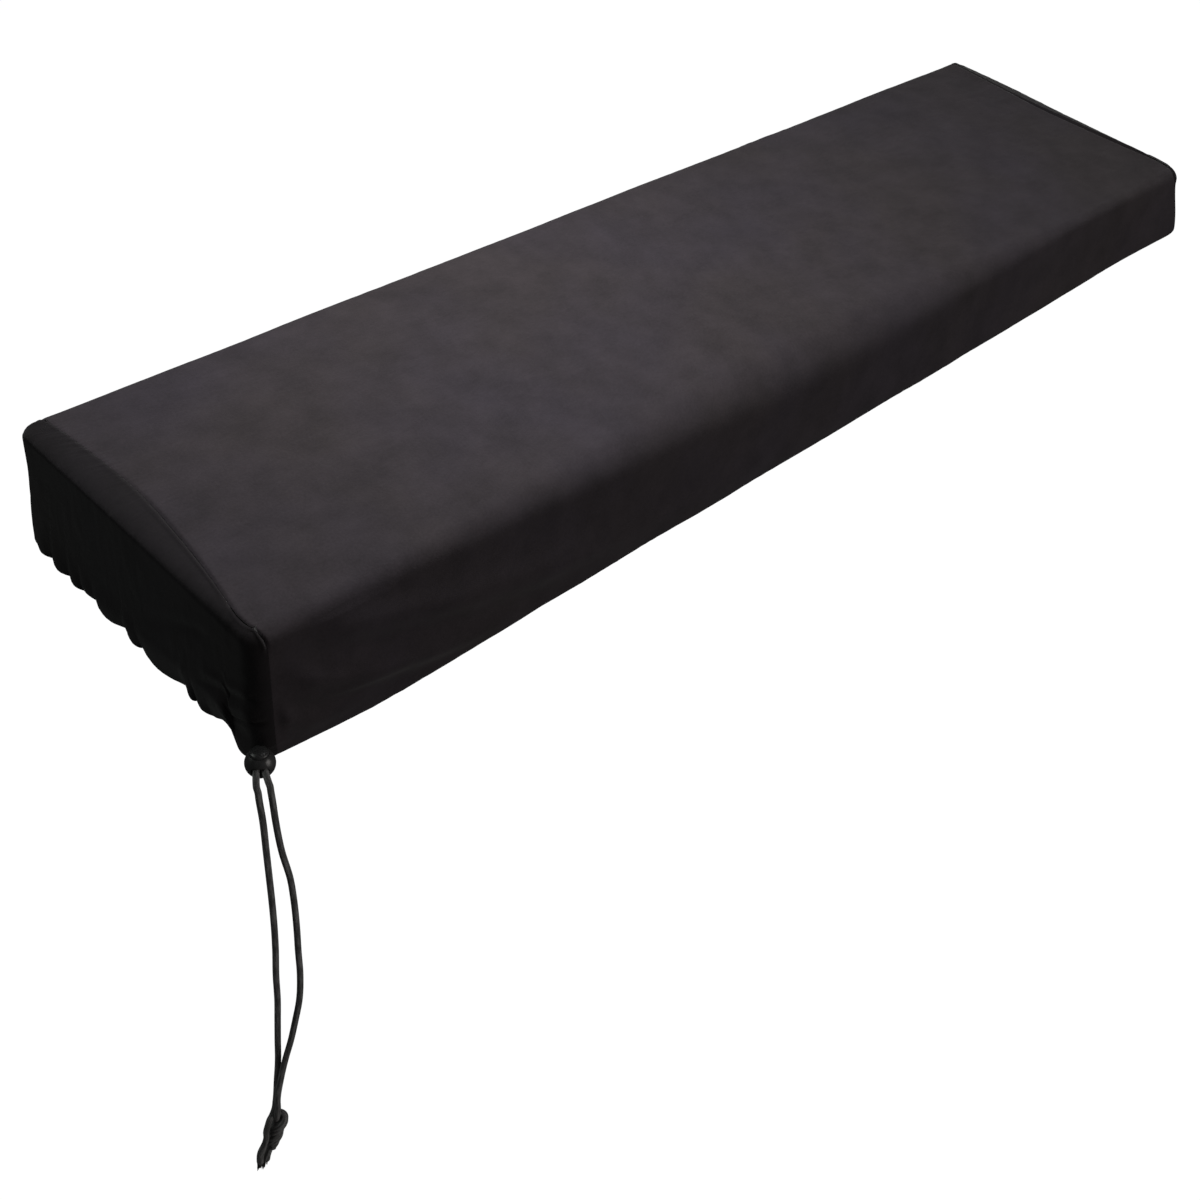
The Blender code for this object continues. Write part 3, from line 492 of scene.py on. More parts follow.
def flared(points):
    """Places on the cloth, moved to where the loose lower walls stand away from the keyboard."""
    along, depth, height = np.moveaxis(points, -1, 0)
    low = ramp(FLARE_HEIGHT - height, 0.0, FLARE_HEIGHT)
    right = ramp(along, LENGTH - FLARE_REACH, LENGTH)
    front = 1 - ramp(depth, 0.0, FLARE_REACH)
    back = ramp(depth, DEPTH - FLARE_REACH, DEPTH)
    rise = BACK_LEFT_RISE * (1 - along / LENGTH) * depth / DEPTH * ramp(height, 0.0, FRONT_HEIGHT)
    slant = RIGHT_SLANT * np.sqrt(np.clip(depth / DEPTH, 0.0, 1.0))
    along = along + right * (RIGHT_FLARE * low - slant)
    depth = depth + low * (BACK_FLARE * back - FRONT_FLARE * front * right)
    return np.stack((along, depth, height + rise), axis=-1)


def inset(along, depth):
    """How far a place lies inside the plan's outline, whose corners are round."""
    radius = np.where(depth < DEPTH / 2, FRONT_CORNER, BACK_CORNER)
    across = np.abs(along - LENGTH / 2) - LENGTH / 2 + radius
    back = np.abs(depth - DEPTH / 2) - DEPTH / 2 + radius
    outside = np.hypot(np.maximum(across, 0), np.maximum(back, 0))
    return np.maximum(radius - outside - np.minimum(np.maximum(across, back), 0), 0)


def surface(along, depth):
    """The height of the cover's outside over a place in plan, with its top edges rounded off."""
    radius = np.where(depth < DEPTH / 2, eased(FRONT_EDGE, along), EDGE_RADIUS)
    short = np.maximum(radius - inset(along, depth), 0)
    return top_height(depth) - radius + np.sqrt(np.maximum(radius * radius - short * short, 0))


def outline(around, reach):
    """Points of the plan's outline, or of the hem's inner edge, and the directions that they face.

    around is 0 to 1 in the front left corner, 1 to 2 along the end and 2 to 3 in the back left corner;
    more than 3 runs on along the back.
    """
    a = np.atleast_1d(np.asarray(around, float))
    front, back = (HEM_CORNER, HEM_CORNER) if reach else (FRONT_CORNER, BACK_CORNER)
    near, far = reach + front, DEPTH - reach - back
    turn = np.where(a < 1, a, np.clip(a - 2, 0, 1)) * math.pi / 2
    first = np.stack((-np.sin(turn), -np.cos(turn)), axis=-1)
    last = np.stack((-np.cos(turn), np.sin(turn)), axis=-1)
    face = np.where((a < 1)[:, None], first, last)
    x = np.where(a < 1, near, reach + back + np.maximum(a - 3, 0))
    y = np.where(a < 1, near, near + (far - near) * np.clip(a - 1, 0, 1))
    return np.stack((x, y), axis=-1) + np.where(a < 1, front, back)[:, None] * face, face


# Where the end seams stand round the end, as outline() counts.
SEAM_AROUND = 2 / math.pi * math.asin((FRONT_CORNER - SEAM_IN) / FRONT_CORNER)
BACK_SEAM = float(eased(SEAM_OVER_TOP, DEPTH))
BACK_AROUND = 3 + BACK_SEAM - BACK_CORNER


def wall(top, bottom, band, rows):
    """The sections of a wall and its hem, from the top down: how far out and how high each row is."""
    curl = bottom + CURL_RADIUS
    share = np.linspace(0, 1, rows + 1)[:, None]
    height = top + (curl - top) * share
    puff = hump(height, curl + BAND_PLACE, BAND_HALF)
    out = band * puff - SKIRT_LEAN * ramp(-height, 0.0, SKIRT_LEAN_HEIGHT)
    turn = CURL_TURN * np.arange(1, CURL_ROWS + 1)[:, None] / CURL_ROWS
    curl_out = out[-1] - CURL_RADIUS * (1 - np.cos(turn))
    curl_height = curl - CURL_RADIUS * np.sin(turn)
    t = np.arange(1, RETURN_ROWS + 1)[:, None] / RETURN_ROWS
    back_out = curl_out[-1] + (-HEM_REACH - curl_out[-1]) * t
    back_height = curl_height[-1] + (bottom + HEM_RISE - curl_height[-1]) * t
    return np.vstack((out, curl_out, back_out)), np.vstack((height, curl_height, back_height))


def stand(out, height, foot, face, inner):
    """Sections stood on the plan: outward along face, inward on the way to inner."""
    far = out[..., None]
    plan = np.where(far > 0, foot + face * far, foot + (inner - foot) * (-far / HEM_REACH))
    return np.concatenate((plan, height[..., None]), axis=-1)


def front_push(along, height):
    """How far the folds push the front wall out."""
    push = np.zeros(np.broadcast(along, height).shape)
    swelled, dying, gone = FOLD_ENDS
    for start, start_height, end, end_height, depth, half in FRONT_FOLDS:
        t = (along - start) / (end - start)
        line = start_height + (end_height - start_height) * (1 - (1 - np.clip(t, 0, 1)) ** FOLD_SAG)
        push += depth * ramp(t, 0.0, swelled) * (1 - ramp(t, dying, gone)) * hump(height, line, half)
    return push


def crease_push(creases, along, height):
    """How far the listed creases push a wall out."""
    push = np.zeros(np.broadcast(along, height).shape)
    for depth, half, *line in creases:
        start, end = line[0][0], line[-1][0]
        rise, fall = (start + (end - start) * share for share in CREASE_ENDS)
        fade = ramp(along, start, rise) * (1 - ramp(along, fall, end))
        push += depth * fade * hump(height, eased(line, along), half)
    return push


def band_at(distance):
    """How far the casing puffs out near the cord's corner, distance along either wall from it."""
    return BAND_PUFF * (1 - ramp(distance, BAND_FULL, BAND_END))


def seam_columns():
    """The main panel's columns, as shares of its length: close together by the two seams."""
    steps = list(SEAM_STEPS)
    middle = LENGTH - 2 * SEAM_IN - 2 * sum(steps)
    count = round(middle / COLUMN_STEP)
    steps = steps + [middle / count] * count + steps[::-1]
    places = np.concatenate(([0.0], np.cumsum(steps)))
    return places / places[-1]


def main_panel_form():
    """The main panel's grid, from the back hem over the top to the front hem, before its small creases."""
    share = seam_columns()
    along = BACK_SEAM + (LENGTH - 2 * BACK_SEAM) * share
    foot = np.stack((along, np.full_like(along, DEPTH)), axis=-1)
    inner_x = float(outline(BACK_AROUND, HEM_REACH)[0][0, 0])
    across = inner_x + (LENGTH - 2 * inner_x) * share
    inner = np.stack((across, np.full_like(along, DEPTH - HEM_REACH)), axis=-1)
    out, height = wall(top_height(DEPTH) - EDGE_RADIUS, eased(BACK_HEM, along), 0.0, BACK_WALL_ROWS)
    out = out + np.zeros_like(height)
    back = stand(out, height, foot, np.array((0.0, 1.0)), inner)[::-1]

    along = SEAM_IN + (LENGTH - 2 * SEAM_IN) * share
    short = np.maximum(FRONT_CORNER - np.minimum(along, LENGTH - along), 0) / FRONT_CORNER
    side = np.where(along < LENGTH / 2, -1, 1)
    cosine = np.sqrt(1 - short * short)
    front_y = FRONT_CORNER * (1 - cosine)
    radius = eased(FRONT_EDGE, along)
    turns = np.linspace(0, math.pi / 2, EDGE_ROWS + 1)[1:, None]
    t = np.arange(1, TOP_ROWS)[:, None] / TOP_ROWS
    depth = np.vstack((
        DEPTH - EDGE_RADIUS * (1 - np.cos(turns)) + np.zeros_like(along),
        DEPTH - EDGE_RADIUS - (DEPTH - EDGE_RADIUS - radius - front_y) * t,
        front_y + radius * (1 - np.cos(turns[::-1])),
    ))
    seam = eased(SEAM_OVER_TOP, depth)
    over = seam + (LENGTH - 2 * seam) * share
    top = np.stack((over, depth, surface(over, depth)), axis=-1)

    out, height = wall(top_height(front_y) - radius, eased(FRONT_HEM, along), band_at(along), WALL_ROWS)
    near, clear = SEAM_IN, SEAM_IN + FOLD_FREE
    inside = ramp(along, near, clear) * ramp(LENGTH - along, near, clear)
    out = out + inside * (front_push(along, height) + crease_push(FRONT_CREASES, along, height))
    foot = np.stack((along, front_y), axis=-1)
    face = np.stack((side * short, -cosine), axis=-1)
    inner_x = float(outline(SEAM_AROUND, HEM_REACH)[0][0, 0])
    inner_y = HEM_REACH + HEM_CORNER * (1 - cosine)
    inner = np.stack((inner_x + (LENGTH - 2 * inner_x) * share, inner_y), axis=-1)
    front = stand(out, height, foot, face, inner)
    return np.concatenate((back, top, front))


def facing(points, sign):
    """The direction that each point of a grid faces, from its neighbours."""
    down, across = np.gradient(points, axis=0), np.gradient(points, axis=1)
    normals = np.cross(down, across)
    return sign * normals / np.maximum(np.linalg.norm(normals, axis=2, keepdims=True), 1e-12)


def lengths(points, axis=0):
    """How far each point of a grid is from its first row or column, or of a path from its start."""
    steps = np.linalg.norm(np.diff(points, axis=axis), axis=-1)
    return np.concatenate((np.zeros_like(np.take(steps, [0], axis)), np.cumsum(steps, axis=axis)), axis=axis)


def grain(points, size, seed):
    """Smooth noise from -1 to 1 over places. Its features are size across: a number, or one a direction."""
    scaled = (np.asarray(points).reshape(-1, 3) / np.array(size) + seed).tolist()
    return np.array([noise.noise(Vector(p)) for p in scaled]).reshape(np.shape(points)[:-1])


def skewed(points, turn):
    """Places turned about +Z, so that a noise stretched along an axis runs at an angle."""
    c, s = math.cos(turn), math.sin(turn)
    return points @ np.array(((c, -s, 0), (s, c, 0), (0, 0, 1)))


def soft_wrinkles(points):
    """Slack swells and thin, patchy creases that lie at random over the stretched cloth."""
    swell = grain(points, *SWELL[:2]) * SWELL[2]
    ridges = 0
    for turn, size, seed, depth in WRINKLES:
        across = np.abs(grain(skewed(points, turn), size, seed))
        ridges = ridges + (1 - across * WRINKLE_SHARPNESS).clip(0) ** 2 * depth
    return swell + ridges * (FAINT + (1 - FAINT) * ramp(grain(points, *PATCHES), *PATCH_RANGE))


def seam_relief(points, distance, ridged):
    """How far the cloth stands proud of its smooth form, distance away from an end seam.

    The seam is plain over the front of the top, faint at the back and smooth down the walls.
    """
    relief = -SEAM_DIP * hump(distance, 0.0, SEAM_DIP_HALF)
    if ridged:
        relief = relief + RIDGE * hump(distance, RIDGE_PLACE, RIDGE_HALF)
    back = 1 - SEAM_FADE * ramp(points[..., 1], *SEAM_BACK)
    return relief * back * (1 - ramp(FRONT_HEIGHT - points[..., 2], *SEAM_DOWN))


def gathers_at(gathers, depth):
    """How far a gather drops the hem, and how far it puffs out, at places along an end."""
    drop, puff = np.zeros_like(depth), np.zeros_like(depth)
    for (start, down, out), (end, _, _) in zip(gathers[:-1], gathers[1:]):
        t = np.clip((depth - start) / (end - start), 0, 1)
        share = t**GATHER_SKEW if down > 0 else (1 - t) ** TUCK_SKEW
        rounding = np.sin(math.pi * share).clip(0) ** GATHER_ROUNDNESS
        drop += down * rounding
        puff += out * rounding
    return drop, puff


def seam_depth(place):
    """How far back the seam over the top is where a column from that place round the end meets it."""
    low, high = EDGE_RADIUS + CORNER_SEAM, DEPTH - EDGE_RADIUS - CORNER_SEAM
    first = EDGE_RADIUS + CORNER_SEAM * (place - SEAM_AROUND) / (1 - SEAM_AROUND)
    last = high + CORNER_SEAM * (place - 2) / (BACK_AROUND - 2)
    return np.where(place < 1, first, np.where(place > 2, last, low + (high - low) * (place - 1)))


def read_rows(values, places):
    """Rows of values at fractional places, straight between neighbours."""
    index = np.arange(len(values))
    return np.stack([np.interp(places, index, values[:, k]) for k in range(values.shape[1])], axis=-1)


def end_places(gathers):
    """Where the end panel's columns stand round the end, as outline() counts."""
    near, far = FRONT_CORNER, DEPTH - BACK_CORNER
    corner = np.linspace(0, 1, CORNER_COLUMNS + 1)
    starts = [gather[0] for gather in gathers]
    middle = [np.linspace(a, b, GATHER_COLUMNS, endpoint=False) for a, b in zip(starts[:-1], starts[1:])]
    middle = 1 + (np.concatenate(middle) - near) / (far - near)
    first = SEAM_AROUND + (1 - SEAM_AROUND) * corner**SEAM_CROWDING
    last = 3 - (1 - corner[:-1]) ** SEAM_CROWDING
    return np.concatenate((first, middle, last, np.linspace(3, BACK_AROUND, BACK_COLUMNS)))


def end_panel_form(edge, hem, gathers, creases, cord_corner):
    """An end panel's grid, worked out as a left one, and the main panel's rows that its seam meets.

    edge is the main panel's edge. The rows met are those over the top, down the front and down the back.
    """
    foot_row = RETURN_ROWS + CURL_ROWS + BACK_WALL_ROWS
    back_corner = foot_row + EDGE_ROWS
    front_corner = back_corner + TOP_ROWS
    places = end_places(gathers)
    rows = np.arange(back_corner, front_corner + 1)[::-1]
    over_top = np.interp(seam_depth(places), edge[rows, 1], rows)
    down_front = np.concatenate((
        np.linspace(front_corner, front_corner + EDGE_ROWS, STRIP_ROWS + EDGE_ROWS + 1)[:-1],
        np.arange(front_corner + EDGE_ROWS, len(edge)),
    ))
    down_back = np.concatenate((
        np.linspace(back_corner, foot_row, STRIP_ROWS + EDGE_ROWS + 1)[:-1],
        np.linspace(foot_row, foot_row - BACK_WALL_ROWS, WALL_ROWS + 1),
        np.arange(foot_row - BACK_WALL_ROWS - 1, -1, -1),
    ))
    seam = read_rows(edge, over_top)
    foot, face = outline(places, 0.0)
    inner = outline(places, HEM_REACH)[0]
    deep = np.maximum(inset(seam[:, 0], seam[:, 1]), 1e-6)
    full = np.arccos(np.clip(1 - deep / EDGE_RADIUS, 0, 1))
    turns = full * np.linspace(1, 0, EDGE_ROWS + 1)[:, None]
    bend = EDGE_RADIUS * (1 - np.cos(turns)) / deep
    bend = np.where(deep < EDGE_RADIUS, bend / np.maximum(bend[0], 1e-6), bend)
    crowded = (np.arange(STRIP_ROWS)[:, None] / STRIP_ROWS) ** SEAM_CROWDING
    shares = np.vstack((1 + (bend[0] - 1) * crowded, bend))
    plan = foot + (seam[:, :2] - foot) * shares[..., None]
    worn = ramp(deep, *STRIP_ROUNDING)
    low = top_height(foot[:, 1]) - EDGE_RADIUS
    soft = low + (seam[:, 2] - low) * np.sqrt(1 - (1 - shares) ** 2)
    height = surface(plan[..., 0], plan[..., 1])
    strip = np.concatenate((plan, (height + (soft - height) * worn)[..., None]), axis=-1)

    along = foot[:, 1]
    drop, puff = gathers_at(gathers, along)
    hem_line = ((0.0, edge[-1, 2] - HEM_RISE),) + hem + ((DEPTH, edge[0, 2] - HEM_RISE),)
    bottom = eased(hem_line, along) - drop
    band = band_at(along) if cord_corner else np.zeros_like(along)
    out, height = wall(top_height(along) - EDGE_RADIUS, bottom, band, WALL_ROWS)
    out = out + puff * (1 - ramp(height - bottom, 0.0, GATHER_HEIGHT)) + crease_push(creases, along, height)
    walls = stand(out, height, foot, face, inner)
    return np.concatenate((strip[:-1], walls)), (over_top, down_front, down_back)


def grid_uv(points):
    """Each point's place in the flat cloth: along the rows and down the columns, in metres."""
    across, down = lengths(points, 1), lengths(points, 0)
    across = across - across[:, across.shape[1] // 2][:, None]
    return np.stack((across, down[:, down.shape[1] // 2][:, None] + 0 * down), axis=-1)


def seam_facts(distance, along):
    """What the cloth's finish reads: how far a seam is, where along it, and how puckered it is."""
    strength = eased(PUCKERS, along) * np.exp(-distance / PUCKER_REACH)
    return np.stack((distance, along, strength), axis=-1)


def cloth_piece(name, points, uv, facts, outward, thickness):
    """A panel of cloth from the grid of its outer face, with its flat map, seam facts and thickness."""
    rows, columns = points.shape[:2]
    mesh = bmesh.new()
    bmesh.ops.create_grid(mesh, x_segments=columns - 1, y_segments=rows - 1, size=0.5)
    for vertex, place in zip(mesh.verts, placed(points).reshape(-1, 3)):
        vertex.co = place
    if not outward:
        bmesh.ops.reverse_faces(mesh, faces=mesh.faces[:])
    piece = finished(name, mesh)
    data = piece.data
    corners = np.empty(len(data.loops), int)
    data.loops.foreach_get("vertex_index", corners)
    layer = data.uv_layers.new(name="cloth")
    layer.data.foreach_set("uv", uv.reshape(-1, 2)[corners].ravel())
    seam = data.attributes.new("seam", "FLOAT_VECTOR", "POINT")
    seam.data.foreach_set("vector", facts.reshape(-1, 3).ravel())
    shell = piece.modifiers.new("thickness", "SOLIDIFY")
    shell.thickness = thickness
    shell.offset = -1.0
    return piece


def finished(name, mesh, sharp=None):
    """An object at the origin from a bmesh, smooth but for edges sharper than that angle."""
    data = bpy.data.meshes.new(name)
    mesh.to_mesh(data)
    mesh.free()
    data.shade_smooth()
    if sharp is not None:
        data.set_sharp_from_angle(angle=sharp)
    piece = bpy.data.objects.new(name, data)
    bpy.context.scene.collection.objects.link(piece)
    return piece


def at_lock(places):
    """Places given as (to the right, out, up) from the lock's centre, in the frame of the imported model."""
    right, out, up = np.moveaxis(np.asarray(places, float), -1, 0)
    cosine, sine = math.cos(LOCK_FACING), math.sin(LOCK_FACING)
    along = LOCK_PLACE[0] + out * cosine - right * sine
    depth = LOCK_PLACE[1] + out * sine + right * cosine
    return placed(np.stack((along, depth, LOCK_PLACE[2] + up), axis=-1))


def way_at_lock(way):
    """A direction given as the lock faces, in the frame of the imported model."""
    return at_lock(way) - at_lock((0.0, 0.0, 0.0))


def lock_frame():
    """The lock's place and turn, with +X to its right, -Y out of its front and +Z up its bore."""
    return Matrix.Translation(at_lock((0, 0, 0))) @ Matrix.Rotation(LOCK_FACING + math.pi / 2, 4, "Z")


def smooth_path(points, spacing):
    """Points a spacing apart on a smooth curve through a route's own points."""
    points = np.asarray(points, float)
    steps = lengths(points)
    fine = np.linspace(0, steps[-1], FINE_STEPS * len(points))
    curve = np.stack([eased(np.stack((steps, points[:, k]), axis=-1), fine) for k in range(3)], axis=-1)
    along = lengths(curve)
    at = np.linspace(0, along[-1], max(2, round(along[-1] / spacing)) + 1)
    return np.stack([np.interp(at, along, curve[:, k]) for k in range(3)], axis=-1)


def carried_frames(path):
    """Two directions square to a path at each of its points, carried along it without a twist."""
    ahead = np.gradient(path, axis=0)
    ahead /= np.linalg.norm(ahead, axis=1, keepdims=True)
    side = [np.cross(ahead[0], (0.0, 0.0, 1.0) if abs(ahead[0][2]) < 0.9 else (0.0, 1.0, 0.0))]
    for direction in ahead:
        side.append(side[-1] - direction * side[-1].dot(direction))
        side[-1] /= np.linalg.norm(side[-1])
    side = np.array(side[1:])
    return side, np.cross(ahead, side)


def braided_tube(name, cords, sides=CORD_SIDES):
    """Round cords in one piece: (path, radius) of each. Their flat map runs round and along them."""
    mesh = bmesh.new()
    layer = mesh.loops.layers.uv.new("cord")
    turn = np.linspace(0, math.tau, sides + 1)
    for path, radius in cords:
        side, other = carried_frames(path)
        radius = np.broadcast_to(radius, len(path))
        ring = side[:, None] * np.cos(turn)[None, :, None] + other[:, None] * np.sin(turn)[None, :, None]
        points = (path[:, None] + ring * radius[:, None, None]).reshape(-1, 3)
        along = lengths(path)
        made = bmesh.ops.create_grid(mesh, x_segments=sides, y_segments=len(path) - 1, size=0.5)["verts"]
        flat = {}
        for index, (vertex, place) in enumerate(zip(made, points)):
            vertex.co = place
            flat[vertex] = (turn[index % (sides + 1)] * CORD_RADIUS, along[index // (sides + 1)])
        for face in {face for vertex in made for face in vertex.link_faces}:
            for corner in face.loops:
                corner[layer].uv = flat[corner.vert]
    bmesh.ops.remove_doubles(mesh, verts=mesh.verts, dist=TOUCHING)
    caps = bmesh.ops.holes_fill(mesh, edges=mesh.edges, sides=sides)["faces"]
    bmesh.ops.triangulate(mesh, faces=caps)
    bmesh.ops.recalc_face_normals(mesh, faces=mesh.faces)
    return finished(name, mesh, SHARP)


def closed(mesh):
    """Merges a mesh's doubled points and turns its faces outward."""
    bmesh.ops.remove_doubles(mesh, verts=mesh.verts, dist=TOUCHING)
    bmesh.ops.recalc_face_normals(mesh, faces=mesh.faces)
    return mesh


def turned(profile):
    """A solid turned from a profile of (radius, height) that starts and ends on the axis."""
    mesh = bmesh.new()
    points = [mesh.verts.new((radius, 0, height)) for radius, height in profile]
    edges = [mesh.edges.new(pair) for pair in zip(points[:-1], points[1:])]
    bmesh.ops.spin(mesh, geom=points + edges, cent=(0, 0, 0), axis=(0, 0, 1), angle=math.tau,
                   steps=LOCK_STEPS, use_merge=True)
    return closed(mesh)


def arc(middle, radius, start, end, steps):
    """Points of a round arc in a profile, from one angle to another."""
    turns = np.linspace(start, end, steps + 1)
    return [(middle[0] + radius * math.cos(t), middle[1] + radius * math.sin(t)) for t in turns]


def level_way(width, low, high, rounding):
    """A level way through the lock, to cut away: its section has corners of that rounding."""
    mesh = bmesh.new()
    corners = []
    half, middle = (high - low) / 2 - rounding, (high + low) / 2
    across = width / 2 - rounding
    for i, (x, z) in enumerate(((across, half), (-across, half), (-across, -half), (across, -half))):
        corners += arc((x, middle + z), rounding, i * math.pi / 2, (i + 1) * math.pi / 2, WAY_STEPS)
    ring = [mesh.verts.new((x, -BALL_RADIUS * 1.5, z)) for x, z in corners]
    face = mesh.faces.new(ring)
    grown = bmesh.ops.extrude_face_region(mesh, geom=[face])["geom"]
    moved = [v for v in grown if isinstance(v, bmesh.types.BMVert)]
    bmesh.ops.translate(mesh, verts=moved, vec=(0, BALL_RADIUS * 3, 0))
    return finished("way", closed(mesh))


def cut_away(piece, cutter):
    """The piece without the cutter's shape. The cutter is then gone."""
    cut = piece.modifiers.new("cut", "BOOLEAN")
    cut.operation = "DIFFERENCE"
    cut.solver = "EXACT"
    cut.object = cutter
    bpy.context.view_layer.update()
    whole = bpy.data.meshes.new_from_object(piece.evaluated_get(bpy.context.evaluated_depsgraph_get()))
    piece.modifiers.clear()
    piece.data = whole
    bpy.data.objects.remove(cutter)


def rounded(piece, width):
    """Rounds a hard piece's edges with a live bevel, and puts it in its place on the lock."""
    piece.data.transform(lock_frame())
    bevel = piece.modifiers.new("rounded edges", "BEVEL")
    bevel.width = width
    bevel.segments = EDGE_SEGMENTS
    bevel.limit_method = "ANGLE"
    bevel.angle_limit = SHARP
    bevel.harden_normals = True


def add_node(tree, kind, inputs=(), **settings):
    """A new shader node with its settings. Each input is a value or another node's output."""
    made = tree.nodes.new(kind)
    for name, value in settings.items():
        setattr(made, name, value)
    for name, value in dict(inputs).items():
        if isinstance(value, bpy.types.NodeSocket):
            tree.links.new(value, made.inputs[name])
        else:
            made.inputs[name].default_value = value
    return made


def bump(tree, height, distance, strength=1.0, under=None):
    """A bump of that height, on top of another bump where one is given."""
    inputs = {"Height": height, "Distance": distance, "Strength": strength}
    if under:
        inputs["Normal"] = under
    return add_node(tree, "ShaderNodeBump", inputs).outputs["Normal"]


def arithmetic(tree, operation, first, second):
    """The outcome of a sum on two values."""
    return add_node(tree, "ShaderNodeMath", {0: first, 1: second}, operation=operation).outputs[0]


def noise_value(tree, places, scale, detail, roughness=0.5):
    """Noise over places."""
    inputs = {"Vector": places, "Scale": scale, "Detail": detail, "Roughness": roughness}
    return add_node(tree, "ShaderNodeTexNoise", inputs).outputs[0]


def ranged(tree, value, low, high, least=0.0, most=1.0, **settings):
    """A value's place between low and high, as a number from least to most."""
    inputs = {"Value": value, "From Min": low, "From Max": high, "To Min": least, "To Max": most}
    return add_node(tree, "ShaderNodeMapRange", inputs, **settings).outputs[0]


def shade(colour, share):
    """A colour made darker or lighter, as a shader reads it."""
    return (*(channel * share for channel in colour), 1.0)


def blended(tree, factor, first, second):
    """A colour between two, by a factor."""
    mix = add_node(tree, "ShaderNodeMix", {0: factor, 6: first, 7: second}, data_type="RGBA")
    return mix.outputs[2]


def new_finish(name, roughness, **sockets):
    """A material with its shader's own numbers set, its node tree and the shader."""
    made = bpy.data.materials.new(name)
    made.use_nodes = True
    shader = made.node_tree.nodes["Principled BSDF"]
    shader.inputs["Roughness"].default_value = roughness
    for socket, value in sockets.items():
        shader.inputs[socket].default_value = value
    return made, made.node_tree, shader


def stretched_noise(tree, source, scale, turn, noise_scale):
    """Noise stretched along one direction of its coordinates, so that it reads as streaks."""
    inputs = {"Vector": source, "Rotation": (0, 0, turn), "Scale": scale}
    return noise_value(tree, add_node(tree, "ShaderNodeMapping", inputs).outputs[0], noise_scale, 2.0)


def wave_scale(spacing):
    """The scale of a wave texture whose bands lie that far apart."""
    return math.tau / (20 * spacing)


def cloth_finish(name, colour, weave):
    """Black stretch jersey: a fine rib, mottled nap, thin random creases and puckers by the seams."""
    made, tree, shader = new_finish(name, 0.86, **{
        "Specular IOR Level": 0.18, "Sheen Weight": 0.12, "Sheen Roughness": 0.45,
    })
    flat = add_node(tree, "ShaderNodeUVMap", uv_map="cloth").outputs[0]
    place = add_node(tree, "ShaderNodeTexCoord").outputs["Object"]
    seam = add_node(tree, "ShaderNodeAttribute", attribute_name="seam").outputs["Vector"]
    away, along, puckered = add_node(tree, "ShaderNodeSeparateXYZ", {0: seam}).outputs
    nap = noise_value(tree, place, 26.0, 6.0, 0.62)
    fuzz = noise_value(tree, place, 420.0, 3.0, 0.6)
    mottle = arithmetic(tree, "MULTIPLY", nap, 0.65)
    mottle = arithmetic(tree, "ADD", mottle, arithmetic(tree, "MULTIPLY", fuzz, 0.35))
    patches = ranged(tree, noise_value(tree, place, 5.0, 3.0), 0.36, 0.62)
    warm = [channel * share for channel, share in zip(colour, WARM_SHARES)]
    dark, light = (blended(tree, patches, shade(colour, share), shade(warm, share)) for share in NAP_SHARES)
    tree.links.new(blended(tree, ranged(tree, mottle, 0.32, 0.68), dark, light), shader.inputs["Base Color"])

    threads = []
    for direction, scale in (("X", wave_scale(weave)), ("Y", wave_scale(weave) * 0.8)):
        inputs = {"Vector": flat, "Scale": scale, "Distortion": 0.4, "Detail Scale": 0.6}
        threads.append(add_node(tree, "ShaderNodeTexWave", inputs, bands_direction=direction).outputs["Fac"])
    relief = bump(tree, arithmetic(tree, "MAXIMUM", *threads), 0.00012, 0.5)
    relief = bump(tree, fuzz, 0.0004, 0.35, relief)
    across = arithmetic(tree, "MULTIPLY", away, 30.0), arithmetic(tree, "MULTIPLY", along, 150.0)
    pucker = add_node(tree, "ShaderNodeCombineXYZ", dict(enumerate(across))).outputs[0]
    pucker = arithmetic(tree, "MULTIPLY", noise_value(tree, pucker, 1.0, 1.0), puckered)
    relief = bump(tree, pucker, 0.0042, 1.0, relief)
    for turn, scale, size, depth in CREASE_NOISES:
        streaks = stretched_noise(tree, place, scale, turn, size)
        ridge = ranged(tree, streaks, 0.5, 0.72, interpolation_type="SMOOTHSTEP")
        relief = bump(tree, ridge, depth, 1.0, relief)
    tree.links.new(relief, shader.inputs["Normal"])
    return made


def plastic_finish(colour, roughness):
    """Moulded black plastic, glossy, with the faint ripple and rubbed patches of a cheap moulding."""
    made, tree, shader = new_finish("black moulded plastic", roughness)
    place = add_node(tree, "ShaderNodeTexCoord").outputs["Object"]
    rub = noise_value(tree, place, 240.0, 4.0)
    tree.links.new(blended(tree, rub, shade(colour, 1.0), shade(colour, 1.8)), shader.inputs["Base Color"])
    worn = ranged(tree, rub, 0.35, 0.7, roughness * 0.8, roughness * 1.5)
    tree.links.new(worn, shader.inputs["Roughness"])
    ripple = noise_value(tree, place, 110.0, 1.0)
    tree.links.new(bump(tree, ripple, 0.0002, 0.5), shader.inputs["Normal"])
    return made


